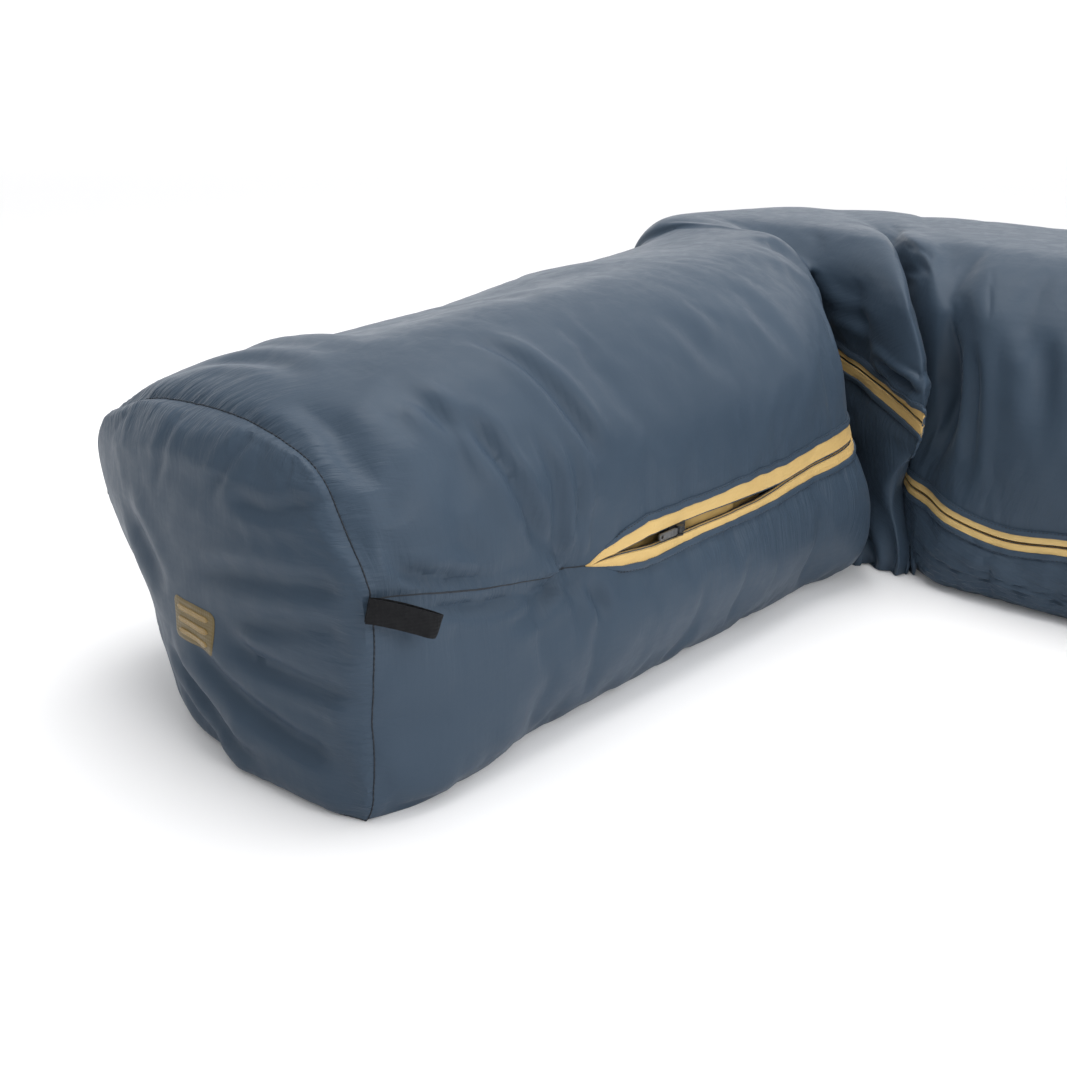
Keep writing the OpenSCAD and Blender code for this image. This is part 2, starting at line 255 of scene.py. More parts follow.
R2b = sec((.040, .735, .160), (.040, .735, .232), (.020, .745, .301), (-.062, .842, .338), (-.17, .925, .343), (-.27, 1.01, .344),
          (-.335, 1.068, .316), (-.362, 1.087, .25), (-.367, 1.092, .17), (-.358, 1.087, .09), (-.325, 1.055, .025), (-.26, 1.0, .0005),
          (-.17, .92, .0005), (-.08, .84, .0005), (.010, .758, .004), (.030, .745, .09))
V2 = sec((-.035, .828, .130), (-.030, .826, .220), (-.025, .820, .292), (-.080, .878, .328), (-.16, .955, .337), (-.24, 1.035, .338),
         (-.29, 1.095, .312), (-.308, 1.117, .247), (-.312, 1.122, .17), (-.307, 1.117, .09), (-.28, 1.09, .025), (-.22, 1.03, .0005),
         (-.15, .95, .0005), (-.08, .87, .0005), (-.02, .80, .004), (-.030, .82, .08))
W3 = sec((.012, .775, .110), (.020, .775, .210), (.018, .772, .294), (-.040, .850, .336), (-.125, .946, .343), (-.20, 1.038, .342),
         (-.247, 1.102, .314), (-.262, 1.122, .248), (-.266, 1.127, .17), (-.261, 1.122, .09), (-.238, 1.094, .025), (-.185, 1.03, .0005),
         (-.115, .945, .0005), (-.05, .862, .0005), (.010, .775, .004), (.016, .772, .065))
R3 = sec((.048, .735, .098), (.058, .742, .200), (.043, .752, .291), (-.015, .828, .340), (-.098, .94, .346), (-.17, 1.042, .344),
         (-.21, 1.107, .315), (-.222, 1.127, .248), (-.226, 1.132, .17), (-.221, 1.127, .09), (-.20, 1.098, .025), (-.15, 1.03, .0005),
         (-.09, .94, .0005), (-.03, .86, .0005), (.030, .762, .004), (.045, .742, .055))
V3 = sec((.073, .724, .093), (.083, .762, .200), (.070, .748, .293), (.012, .832, .3285), (-.060, .94, .338), (-.12, 1.042, .338),
         (-.15, 1.107, .311), (-.16, 1.13, .247), (-.165, 1.135, .17), (-.16, 1.13, .09), (-.142, 1.10, .025), (-.10, 1.03, .0005),
         (-.05, .94, .0005), (.005, .85, .0005), (.062, .742, .004), (.073, .724, .05))
T0 = sec((.110, .702, .0855), (.118, .712, .190), (.112, .724, .293), (.060, .822, .332), (-.002, .94, .341), (-.052, 1.045, .339),
         (-.080, 1.108, .311), (-.09, 1.134, .247), (-.092, 1.14, .17), (-.09, 1.135, .09), (-.072, 1.105, .025), (-.03, 1.03, .0005),
         (.012, .94, .0005), (.06, .84, .0005), (.108, .728, .004), (.111, .708, .046))
for nm, s in (("R1", R1), ("R1a", R1a), ("R1b", R1b), ("V1", V1), ("W2", W2), ("R2", R2), ("R2b", R2b), ("V2", V2), ("W3", W3), ("R3", R3),
              ("V3", V3), ("T0", T0)):
    add(nm, s)


def back_y(x):
    return 1.105 + (x + .395) * .075 / 1.10


def torso_section(x, k):
    """k is how far the outer side trails behind the zip side, 1 near the bend and 0 at the head end."""
    xs = x - .13 * k * np.array([0, 0, .05, .25, .55, .85, 1, 1.05, 1.05, 1.05, .95, .75, .5, .25, .03, 0])
    z0 = tab(x, [(.10, .087), (.153, .077), (.182, .0735), (.25, .083), (.30, .085), (.8, .085)])
    ys = np.array([.700, .694, .724, .805, .93, 1.045, 0, 0, 0, 0, 0, 1.03, .93, .82, .728, .704])
    zs = np.array([z0, .19, .294, .329, .336, .334, .306, .245, .17, .09, .022, .0005, .0005, .0005, .004, .043])
    yb = back_y(xs)
    ys[6], ys[7], ys[8], ys[9], ys[10] = yb[6] - .035, yb[7] - .003, yb[8], yb[9] - .003, yb[10] - .035
    flare = (yb[8] - 1.13) / .06
    ys[5] += .03 * flare
    ys[4] += .012 * flare
    ys[11] += .02 * flare
    return np.stack([xs, ys, zs], 1)


for x, k in ((.17, .9), (.24, .6), (.33, .3), (.44, .1), (.55, 0), (.64, 0), (.685, 0), (.7065, 0)):
    s = torso_section(x, k)
    if x > .64:
        c = np.array([x, .93, .165])
        q = 1 - .02 * smooth((x - .64) / .065)
        s = c + (s - c) * np.array([1, q, q])
        s[:, 2] = np.maximum(s[:, 2], .0005)
    SECTIONS.append(s)

SECTIONS = np.array(SECTIONS)
DENSE = np.array([catmull(s, COUNTS, True) for s in SECTIONS])
step = np.linalg.norm(np.diff(DENSE, axis=0), axis=-1)
SPAN = [2 * max(2, int(math.ceil(np.percentile(d, 70) / 0.0100))) for d in step]
G = catmull(DENSE, SPAN, False)
G[..., 2] = np.maximum(G[..., 2], 0.0004)
STATION = np.concatenate([[0], np.cumsum(SPAN)])
N = len(G)
print("shell grid", G.shape)


# ------------------------------------------------------------------ meshes
def to_frame(P):
    return np.asarray(P, float) + OFF


def mesh_from(name, verts, faces, material, smooth_shade=True):
    me = bpy.data.meshes.new(name)
    me.from_pydata([tuple(v) for v in verts], [], [tuple(f) for f in faces])
    me.validate()
    me.update()
    if smooth_shade:
        me.polygons.foreach_set("use_smooth", [True] * len(me.polygons))
    ob = bpy.data.objects.new(name, me)
    bpy.context.scene.collection.objects.link(ob)
    if material is not None:
        me.materials.append(material)
    return ob


def grid_faces(n, m, closed_cols=False, base=0, flip=False):
    i = np.arange(n - 1)[:, None]
    j = np.arange(m if closed_cols else m - 1)[None, :]
    j2 = (j + 1) % m
    a, b, c, d = i * m + j, i * m + j2, (i + 1) * m + j2, (i + 1) * m + j
    f = np.stack([a, b, c, d] if flip else [a, d, c, b], -1).reshape(-1, 4) + base
    return f


def slab(name, outer, inner, material, flip=False, closed_cols=False):
    """A closed body between two grids of points of the same shape (n, m, 3)."""
    n, m = outer.shape[:2]
    k = n * m
    verts = np.concatenate([outer.reshape(-1, 3), inner.reshape(-1, 3)])
    faces = [grid_faces(n, m, closed_cols, 0, flip), grid_faces(n, m, closed_cols, k, not flip)]
    rim = []
    top, bot = np.arange(m), (n - 1) * m + np.arange(m)
    cols = m if closed_cols else m - 1
    for j in range(cols):
        j2 = (j + 1) % m
        q = [top[j], top[j2], top[j2] + k, top[j] + k]
        rim.append(q[::-1] if flip else q)
        q = [bot[j], bot[j] + k, bot[j2] + k, bot[j2]]
        rim.append(q[::-1] if flip else q)
    if not closed_cols:
        for i in range(n - 1):
            a, b = i * m, (i + 1) * m
            q = [a, a + k, b + k, b]
            rim.append(q[::-1] if flip else q)
            a, b = i * m + m - 1, (i + 1) * m + m - 1
            q = [a, b, b + k, a + k]
            rim.append(q[::-1] if flip else q)
    faces.append(np.array(rim))
    ob = mesh_from(name, to_frame(verts), np.concatenate(faces).tolist(), material)
    ob.data.set_sharp_from_angle(angle=math.radians(50))
    return ob


# ------------------------------------------------------------------ the domed foot panel, a net spanned inside the foot seam
def coons(edge, dome_fn, fine=1):
    """A net (rows up, columns across) inside one closed section whose columns follow ROW."""
    near = np.concatenate([edge[ROW[14]:M], edge[0:ROW[2] + 1]])            # bottom to top on the zip side
    far = edge[ROW[6]:ROW[10] + 1][::-1]                                     # bottom to top on the far side
    top = edge[ROW[2]:ROW[6] + 1]                                            # zip side to far side
    bottom = edge[ROW[10]:ROW[14] + 1][::-1]                                 # zip side to far side
    v = np.linspace(0, 1, len(near))[:, None, None]
    u = np.linspace(0, 1, len(top))[None, :, None]
    P = (1 - u) * near[:, None] + u * far[:, None] + (1 - v) * bottom[None] + v * top[None]
    P = P - ((1 - u) * (1 - v) * near[0] + u * (1 - v) * far[0] + (1 - u) * v * near[-1] + u * v * far[-1])
    return dome_fn(P, u[..., 0], v[..., 0])


def dome(P, u, v):
    P = P.copy()
    e = np.clip(4 * u * (1 - u), 0, 1) ** .55 * np.clip(4 * v * (1 - v), 0, 1) ** .42
    low = 1 - .10 * smooth((.30 - v) / .30)
    P[..., 1] -= .036 * e * low
    P[..., 2] = np.maximum(P[..., 2], .0004)
    return P


CAP = coons(G[0], dome)
CN, CM = CAP.shape[:2]
# where each seam column of the body meets the foot panel's net: (row, column) pairs in body column order
SEAM_IJ = []
for j in range(M):
    if j <= ROW[2]:
        SEAM_IJ.append((j + (M - ROW[14]), 0))
    elif j <= ROW[6]:
        SEAM_IJ.append((CN - 1, j - ROW[2]))
    elif j <= ROW[10]:
        SEAM_IJ.append((CN - 1 - (j - ROW[6]), CM - 1))
    elif j < ROW[14]:
        SEAM_IJ.append((0, CM - 1 - (j - ROW[10])))
    else:
        SEAM_IJ.append((j - ROW[14], 0))
SEAM_IJ = np.array(SEAM_IJ)


# ------------------------------------------------------------------ cloth simulation of the filled shell
def simulate(G, CAP):
    """Blows the shell up a little from inside with spare cloth between pinned seams, and returns how far each net point moved."""
    g, c = G[::2, ::2], CAP[::1, ::1]
    n, m = g.shape[:2]
    # the foot panel joins at its border points that fall on even body columns
    cn, cm = CAP.shape[:2]
    ids = -np.ones((cn, cm), int)
    for j in range(0, M, 2):
        a, b = SEAM_IJ[j]
        ids[a, b] = j // 2
    verts = list(map(tuple, g.reshape(-1, 3)))
    odd = []
    for a in range(cn):
        for b in range(cm):
            if ids[a, b] < 0:
                ids[a, b] = len(verts)
                verts.append(tuple(CAP[a, b]))
                if a in (0, cn - 1) or b in (0, cm - 1):
                    odd.append(ids[a, b])
    faces = grid_faces(n, m, True).tolist()
    for a in range(cn - 1):
        for b in range(cm - 1):
            faces.append([ids[a, b], ids[a, b + 1], ids[a + 1, b + 1], ids[a + 1, b]])
    me = bpy.data.meshes.new("sim")
    me.from_pydata(verts, [], faces)
    ob = bpy.data.objects.new("sim", me)
    bpy.context.scene.collection.objects.link(ob)
    w = np.full(len(verts), .018)
    k = np.arange(n * m).reshape(n, m)
    rows = (ROW // 2)
    along = np.arange(n)
    y_of = g[:, 0, 1]
    w[k[0]] = 1.0                                     # foot seam
    w[k[-3:].ravel()] = 1.0                           # head end
    w[k[:, 0]] = 1.0                                  # side seam and zip
    w[k[:, 1]] = .8
    w[k[:, -1]] = .8
    for r, s in ((11, .5), (12, .6), (13, .5), (10, .12), (14, .25)):
        w[k[:, rows[r]]] = s
    for r0, r1 in ((10, 11), (11, 12), (12, 13), (13, 14)):
        w[k[:, rows[r0] + 1:rows[r1]].ravel()] = .4
    b1, b2 = STATION[NAMED["R1"]] // 2, STATION[NAMED["T0"]] // 2
    w[k[b1:b2].ravel()] = np.maximum(w[k[b1:b2].ravel()], .10)
    w[odd] = 1.0
    low = CAP[..., 2] < .02
    w[ids[low]] = np.maximum(w[ids[low]], .3)
    vg = ob.vertex_groups.new(name="pin")
    for val in np.unique(np.round(w, 4)):
        vg.add(np.nonzero(np.isclose(w, val, atol=6e-5))[0].tolist(), float(val), "REPLACE")
    mod = ob.modifiers.new("cloth", "CLOTH")
    st = mod.settings
    st.quality, st.mass, st.air_damping = 5, .12, 3.0
    st.tension_stiffness = st.shear_stiffness = 18
    st.compression_stiffness = 10
    st.bending_stiffness = .06
    st.tension_damping = st.compression_damping = st.shear_damping = 6
    st.bending_damping = .6
    st.use_pressure, st.uniform_pressure_force = True, 2.4
    st.shrink_min = -.022
    st.vertex_group_mass = "pin"
    st.pin_stiffness = 1.0
    st.effector_weights.gravity = 0
    mod.collision_settings.use_self_collision = False
    mod.collision_settings.use_collision = False
    sc = bpy.context.scene
    mod.point_cache.frame_start, mod.point_cache.frame_end = 1, 30
    for f in range(1, 19):
        sc.frame_set(f)
    ev = ob.evaluated_get(bpy.context.evaluated_depsgraph_get())
    co = np.zeros(len(ev.data.vertices) * 3)
    ev.data.vertices.foreach_get("co", co)
    co = co.reshape(-1, 3)
    d = co - np.array(verts)
    bpy.data.objects.remove(ob, do_unlink=True)
    sc.frame_set(1)
    L = np.linalg.norm(d, axis=1, keepdims=True)
    print("cloth moved: mean %.4f, 99%% %.4f, most %.4f" % (L.mean(), np.percentile(L, 99), L.max()))
    cap_to = .011
    d = d * np.where(L > 1e-9, cap_to * np.tanh(L / cap_to) / np.maximum(L, 1e-9), 1)
    body, panel = d[:n * m].reshape(n, m, 3), d[ids]
    return body, panel


def upsample(D):
    """A field on every second net point, made again on all of them with a smooth interpolation."""
    n, m = D.shape[:2]
    out = np.zeros((2 * n - 1, m, 3))
    P = np.concatenate([D[:1], D, D[-1:]])
    out[0::2] = D
    out[1::2] = (-P[:-3] + 9 * P[1:-2] + 9 * P[2:-1] - P[3:]) / 16
    D = out
    out = np.zeros((2 * n - 1, 2 * m, 3))
    out[:, 0::2] = D
    out[:, 1::2] = (-np.roll(D, 1, 1) + 9 * D + 9 * np.roll(D, -1, 1) - np.roll(D, -2, 1)) / 16
    return out


body_d, panel_d = simulate(G, CAP)
body_d = upsample(blur(body_d, 1, True))
SIM = (body_d, blur(panel_d, 1, False))
if SIM is not None:
    G = G + SIM[0]
    CAP = CAP + SIM[1] * .45
    G[..., 2] = np.maximum(G[..., 2], .0004)
    CAP[..., 2] = np.maximum(CAP[..., 2], .0004)
# ---- sim applied


def sculpt(P):
    """Shaping after the filling has puffed the cloth up: sags, tucked edges, the torso's front brought forward and the
    outer crest at the bend; the pleats that reach the ground at the bend are made in pleats().
    """
    x, y, z = P[..., 0], P[..., 1], P[..., 2]
    Q = P.copy()
    # the far side of the leg's top sags
    Q[..., 2] -= .0165 * smooth((-x - .10) / .14) * smooth((y - .12) / .09) * smooth((.54 - y) / .20) * smooth((z - .20) / .08)
    # the foot panel tucks in at its lower far side and bows out along the ground
    g = np.exp(-((x + .33) / .08) ** 2 - ((y - .01) / .07) ** 2 - ((z - .085) / .055) ** 2)
    Q[..., 0] += .018 * g
    Q[..., 1] += .009 * g
    g = np.exp(-((x + .265) / .06) ** 2 - (y / .06) ** 2 - ((z - .030) / .045) ** 2)
    Q[..., 0] += .010 * g
    low = smooth((.080 - z) / .07)
    Q[..., 1] -= .011 * low * smooth((x + .18) / .06) * smooth((.06 - y) / .06) * (1 - .55 * smooth((x + .03) / .03))
    Q[..., 0] += .006 * low * np.exp(-((y - .04) / .035) ** 2) * smooth((x + .1) / .05)
    # the side is tucked under along the leg, and the torso's front comes forward
    Q[..., 0] -= .013 * low * smooth((y - .11) / .06) * smooth((.66 - y) / .07) * smooth((x + .12) / .06)
    Q[..., 1] -= .015 * low * smooth((x - .05) / .05) * smooth((.80 - y) / .04) * smooth((y - .66) / .03)
    # outer crest at the bend
    g = np.exp(-((x + .354) / .10) ** 2 - ((y - .852) / .10) ** 2 - ((z - .33) / .12) ** 2)
    Q[..., 0] -= .019 * g
    Q[..., 1] -= .016 * g
    Q[..., 2] += .006 * g
    return Q


def pleats(P):
    """Between the leg's end and the torso the cloth bunches forward where it meets the ground."""
    x, y, z = P[..., 0], P[..., 1], P[..., 2]
    st = np.arange(len(P))[:, None]
    a, b = int(STATION[NAMED["R1"]]) + 4, int(STATION[NAMED["R3"]]) - 2
    w = smooth((st - a) / 8.0) * smooth((b - st) / 8.0) * smooth((.105 - z) / .10) * smooth((x + .17) / .06) * smooth((.84 - y) / .05)
    tx, ty = .026 + .070 * smooth((st - a) / (b - a)), .698 + .010 * smooth((st - a) / (b - a)) + .007 * np.cos(st * .45)
    Q = P.copy()
    Q[..., 0] += .72 * w * (tx - x)
    Q[..., 1] += .72 * w * (ty - y)
    return Q


G, CAP = pleats(sculpt(G)), sculpt(CAP)


# ------------------------------------------------------------------ materials
def nodes_of(mat):
    mat.use_nodes = True
    nt = mat.node_tree
    nt.nodes.clear()
    out = nt.nodes.new("ShaderNodeOutputMaterial")
    bsdf = nt.nodes.new("ShaderNodeBsdfPrincipled")
    nt.links.new(bsdf.outputs[0], out.inputs[0])
    return nt, bsdf


def srgb(*c):
    return tuple((x / 255 / 12.92) if x / 255 <= 0.04045 else ((x / 255 + 0.055) / 1.055) ** 2.4 for x in c) + (1.0,)


def fabric(name, dark, light, rough=(.45, .6), weave=900.0, weave_bump=.12, sheen=.25, crinkle=(55.0, .25), mottle=6.0, spec=.45, pucker=False):
    """Woven cloth: a two-way thread pattern in the bump, soft colour drift, fine crinkles and uneven gloss."""
    mat = bpy.data.materials.new(name)
    nt, b = nodes_of(mat)
    new, link = nt.nodes.new, nt.links.new
    tc = new("ShaderNodeTexCoord")
    big = new("ShaderNodeTexNoise"); big.inputs["Scale"].default_value = mottle; big.inputs["Detail"].default_value = 4
    link(tc.outputs["Object"], big.inputs["Vector"])
    ramp = new("ShaderNodeValToRGB")
    ramp.color_ramp.elements[0].position, ramp.color_ramp.elements[1].position = .36, .66
    ramp.color_ramp.elements[0].color, ramp.color_ramp.elements[1].color = dark, light
    link(big.outputs["Fac"], ramp.inputs["Fac"])
    link(ramp.outputs["Color"], b.inputs["Base Color"])
    waves = []
    for axis in ("X", "Y", "Z"):
        w = new("ShaderNodeTexWave"); w.wave_type = "BANDS"; w.bands_direction = axis
        w.inputs["Scale"].default_value = weave / 20.0; w.inputs["Distortion"].default_value = .6; w.inputs["Detail"].default_value = 0
        link(tc.outputs["Object"], w.inputs["Vector"])
        waves.append(w)
    m1 = new("ShaderNodeMath"); m1.operation = "MULTIPLY"
    link(waves[0].outputs["Fac"], m1.inputs[0]); link(waves[1].outputs["Fac"], m1.inputs[1])
    m2 = new("ShaderNodeMath"); m2.operation = "ADD"
    link(m1.outputs[0], m2.inputs[0]); link(waves[2].outputs["Fac"], m2.inputs[1])
    fine = new("ShaderNodeTexNoise"); fine.inputs["Scale"].default_value = crinkle[0]; fine.inputs["Detail"].default_value = 5
    fine.inputs["Roughness"].default_value = .55; fine.inputs["Distortion"].default_value = .8
    link(tc.outputs["Object"], fine.inputs["Vector"])
    rr = new("ShaderNodeMapRange"); rr.inputs["From Min"].default_value = .35; rr.inputs["From Max"].default_value = .65
    rr.inputs["To Min"].default_value, rr.inputs["To Max"].default_value = rough
    link(fine.outputs["Fac"], rr.inputs["Value"]); link(rr.outputs[0], b.inputs["Roughness"])
    bump1 = new("ShaderNodeBump"); bump1.inputs["Strength"].default_value = crinkle[1]; bump1.inputs["Distance"].default_value = .0016
    link(fine.outputs["Fac"], bump1.inputs["Height"])
    if pucker:
        # fine gathers that run away from each seam; the mesh carries, for two seams, (along, away, strength)
        last_n = None
        for name_ in ("gather_a", "gather_b"):
            at = new("ShaderNodeAttribute"); at.attribute_type = "GEOMETRY"; at.attribute_name = name_
            sp = new("ShaderNodeSeparateXYZ"); link(at.outputs["Vector"], sp.inputs[0])
            cm = new("ShaderNodeCombineXYZ"); link(sp.outputs[0], cm.inputs[0]); link(sp.outputs[1], cm.inputs[1])
            nz = new("ShaderNodeTexNoise"); nz.inputs["Scale"].default_value = 1.0; nz.inputs["Detail"].default_value = 3; nz.inputs["Distortion"].default_value = .35
            nz.inputs["Roughness"].default_value = .6
            link(cm.outputs[0], nz.inputs["Vector"])
            sb = new("ShaderNodeMath"); sb.operation = "SUBTRACT"; sb.inputs[1].default_value = .5
            link(nz.outputs["Fac"], sb.inputs[0])
            ml = new("ShaderNodeMath"); ml.operation = "MULTIPLY"
            link(sb.outputs[0], ml.inputs[0]); link(sp.outputs[2], ml.inputs[1])
            bq = new("ShaderNodeBump"); bq.inputs["Strength"].default_value = 1.0; bq.inputs["Distance"].default_value = .0046
            link(ml.outputs[0], bq.inputs["Height"])
            if last_n is not None:
                link(last_n, bq.inputs["Normal"])
            last_n = bq.outputs["Normal"]
        link(last_n, bump1.inputs["Normal"])
    bump2 = new("ShaderNodeBump"); bump2.inputs["Strength"].default_value = weave_bump; bump2.inputs["Distance"].default_value = .0003
    link(m2.outputs[0], bump2.inputs["Height"]); link(bump1.outputs["Normal"], bump2.inputs["Normal"])
    link(bump2.outputs["Normal"], b.inputs["Normal"])
    b.inputs["Specular IOR Level"].default_value = spec
    b.inputs["Sheen Weight"].default_value = sheen
    b.inputs["Sheen Roughness"].default_value = .35
    b.inputs["Sheen Tint"].default_value = (.75, .86, 1, 1)
    return mat


SHELL = fabric("nylon_shell", srgb(57, 71, 86), srgb(63, 77, 92), rough=(.42, .50), mottle=2.5, sheen=.05, crinkle=(60.0, .19), weave_bump=.08, spec=.17, pucker=True)
LINING = fabric("dark_lining", srgb(38, 44, 52), srgb(46, 53, 62), rough=(.55, .7), sheen=.15)
GOLD = fabric("gold_tape", srgb(203, 170, 108), srgb(216, 184, 120), rough=(.55, .7), weave=1500, weave_bump=.4, sheen=.1, crinkle=(160, .3))
TAN = fabric("tan_draft", srgb(186, 152, 92), srgb(206, 172, 106), rough=(.5, .7), sheen=.1)
SEAM = fabric("seam_thread", srgb(24, 30, 38), srgb(34, 41, 50), rough=(.6, .8), sheen=.05)
WEB = fabric("black_webbing", srgb(11, 12, 15), srgb(20, 21, 25), rough=(.6, .75), weave=2200, weave_bump=.6, sheen=.02, crinkle=(200, .2), spec=.2)

# ------------------------------------------------------------------ camera, light, floor
cam = bpy.data.cameras.new("camera")
cam.lens, cam.sensor_width = 45, 36
cam.clip_start, cam.clip_end = .02, 60
cam_ob = bpy.data.objects.new("camera", cam)
bpy.context.scene.collection.objects.link(cam_ob)
h = Vector((-0.674, 0.739, 0)).normalized()
look = (h * math.cos(math.radians(20)) + Vector((0, 0, -math.sin(math.radians(20))))).normalized()
cam_ob.location = Vector((0.6746 + OFF[0], -0.5585 + OFF[1], 0.543))
cam_ob.rotation_mode = "QUATERNION"
cam_ob.rotation_quaternion = look.to_track_quat("-Z", "Y")
bpy.context.scene.camera = cam_ob

world = bpy.data.worlds.new("world")
bpy.context.scene.world = world
world.use_nodes = True
wn = world.node_tree
bg = wn.nodes["Background"]
# brighter from the right and above, dimmer from the left front
wc = wn.nodes.new("ShaderNodeTexCoord")
wd = wn.nodes.new("ShaderNodeVectorMath"); wd.operation = "DOT_PRODUCT"
wd.inputs[1].default_value = (.36, .48, .64)
wr = wn.nodes.new("ShaderNodeMapRange")
wr.inputs["From Min"].default_value, wr.inputs["From Max"].default_value = -.75, .85
wr.inputs["To Min"].default_value, wr.inputs["To Max"].default_value = .0, 1.25
wn.links.new(wc.outputs["Generated"], wd.inputs[0])
wn.links.new(wd.outputs["Value"], wr.inputs["Value"])
wn.links.new(wr.outputs[0], bg.inputs[1])
bg.inputs[0].default_value = (1, 1, 1, 1)


def area(name, loc, target, size, power):
    L = bpy.data.lights.new(name, "AREA")
    L.shape, L.size, L.size_y, L.energy = "RECTANGLE", size[0], size[1], power
    ob = bpy.data.objects.new(name, L)
    bpy.context.scene.collection.objects.link(ob)
    ob.location = Vector(loc)
    ob.rotation_mode = "QUATERNION"
    ob.rotation_quaternion = (Vector(target) - Vector(loc)).to_track_quat("-Z", "Y")
    return ob


area("key", (-.45, .15, 2.4), (-.2, .1, .15), (1.9, 1.5), 30)
area("side", (1.75, -.35, 1.25), (.1, .1, .15), (1.2, 1.0), 13)

fm = bpy.data.materials.new("floor_paper")
nt, b = nodes_of(fm)
fn = nt.nodes.new("ShaderNodeTexNoise"); fn.inputs["Scale"].default_value = 3
fr = nt.nodes.new("ShaderNodeValToRGB")
fr.color_ramp.elements[0].color = (.91, .91, .92, 1); fr.color_ramp.elements[1].color = (.94, .94, .945, 1)
nt.links.new(fn.outputs["Fac"], fr.inputs["Fac"]); nt.links.new(fr.outputs["Color"], b.inputs["Base Color"])
b.inputs["Roughness"].default_value = .9
b.inputs["Emission Color"].default_value = (1, 1, 1, 1)
b.inputs["Emission Strength"].default_value = .05
floor = mesh_from("floor", [(-30, -30, 0), (30, -30, 0), (30, 30, 0), (-30, 30, 0)], [(0, 1, 2, 3)], fm)
bm_ = bpy.data.materials.new("backdrop_paper")
nt, b = nodes_of(bm_)
fn = nt.nodes.new("ShaderNodeTexNoise"); fn.inputs["Scale"].default_value = .5
fr = nt.nodes.new("ShaderNodeValToRGB")
fr.color_ramp.elements[0].color = (.92, .92, .92, 1); fr.color_ramp.elements[1].color = (.94, .94, .94, 1)
nt.links.new(fn.outputs["Fac"], fr.inputs["Fac"]); nt.links.new(fr.outputs["Color"], b.inputs["Base Color"])
b.inputs["Roughness"].default_value = .9
b.inputs["Emission Color"].default_value = (1, 1, 1, 1)
b.inputs["Emission Strength"].default_value = .75
c0, across = Vector((-6.7, 7.4, 0)), Vector((.739, .674, 0))
a0, a1 = c0 - across * 14, c0 + across * 14
backdrop = mesh_from("backdrop", [tuple(a0), tuple(a1), tuple(a1 + Vector((0, 0, 4))), tuple(a0 + Vector((0, 0, 4)))], [(0, 1, 2, 3)], bm_)
vs = bpy.context.scene.view_settings
vs.view_transform = "Standard"
vs.look = "None"

# ------------------------------------------------------------------ lengths along the net, used to place seams and folds
def arc_cols(G):
    """Signed distance round the bag from the zip line: above it positive, below it negative."""
    d = np.linalg.norm(np.roll(G, -1, 1) - G, axis=-1)
    s = np.concatenate([np.zeros((len(G), 1)), np.cumsum(d, 1)], 1)
    total = s[:, -1:]
    s = s[:, :-1]
    return np.where(s > total / 2, s - total, s)


def arc_rows(G):
    d = np.linalg.norm(np.diff(G, axis=0), axis=-1)
    return np.concatenate([np.zeros((1, G.shape[1])), np.cumsum(d, 0)], 0)


S = arc_cols(G)
T = arc_rows(G)
LINE = G[:, 0].copy()                                  # the zip line itself
ZT = T[:, 0]                                           # distance along it from the foot seam
STN = np.arange(N)
i_r1, i_r2, i_r3, i_t0 = (int(STATION[NAMED[k]]) for k in ("R1", "R2", "R3", "T0"))


def along_zip(pairs_y, pairs_stn):
    """A value along the zip line: by y on the leg, by station after it."""
    out = tab(LINE[:, 1], pairs_y)
    late = tab(STN, pairs_stn)
    return np.where(STN <= i_r1, out, late)


ZIP_FROM = .226
HALF = along_zip([(0, 0), (.226, 0), (.268, .0007), (.288, .0024), (.312, .0048), (.36, .0054), (.43, .0048), (.48, .0036), (.53, .0011), (.70, .0009)],
                 [(i_r1, .0009), (i_r1 + 8, .0010), (i_r2 - 14, .0010), (i_r2 - 3, .0012), (i_r2 + 3, .0010), (N, .0008)])
W_UP = along_zip([(0, 0), (.226, .0004), (.250, .0070), (.275, .0135), (.30, .0155), (.388, .0145), (.48, .0200), (.553, .0195), (.70, .0190)],
                 [(i_r1, .0185), (i_r1 + 10, .0120), (i_r2 - 12, .0060), (i_r2, .0130), (i_r2 + 8, .0110), (i_r3, .0085), (N, .0095)])
W_LOW = along_zip([(0, 0), (.226, .0004), (.250, .0060), (.272, .0115), (.30, .0125), (.335, .0100), (.39, .0080), (.48, .0080), (.53, .0105), (.60, .0125), (.70, .0100)],
                  [(i_r1, .0095), (i_r1 + 10, .0110), (i_r2 - 12, .0130), (i_r2, .0125), (i_r2 + 8, .0105), (i_r3, .0085), (N, .0095)])
ON_ZIP = LINE[:, 1] > ZIP_FROM - .002
ON_ZIP[i_r1:] = True


# ------------------------------------------------------------------ folds and puckers on the shell
def to_line(P, line):
    """Distance of points P (..., 3) from a polyline, and how far along it (0 to 1)."""
    line = np.asarray(line, float)
    L = np.linalg.norm(np.diff(line, axis=0), axis=1)
    acc = np.concatenate([[0], np.cumsum(L)])
    best = np.full(P.shape[:-1], 1e9)
    pos = np.zeros(P.shape[:-1])
    for a in range(len(line) - 1):
        v = line[a + 1] - line[a]
        t = np.clip(((P - line[a]) @ v) / (v @ v), 0, 1)
        d = np.linalg.norm(P - (line[a] + t[..., None] * v), axis=-1)
        m = d < best
        best = np.where(m, d, best)
        pos = np.where(m, (acc[a] + t * L[a]) / acc[-1], pos)
    return best, pos


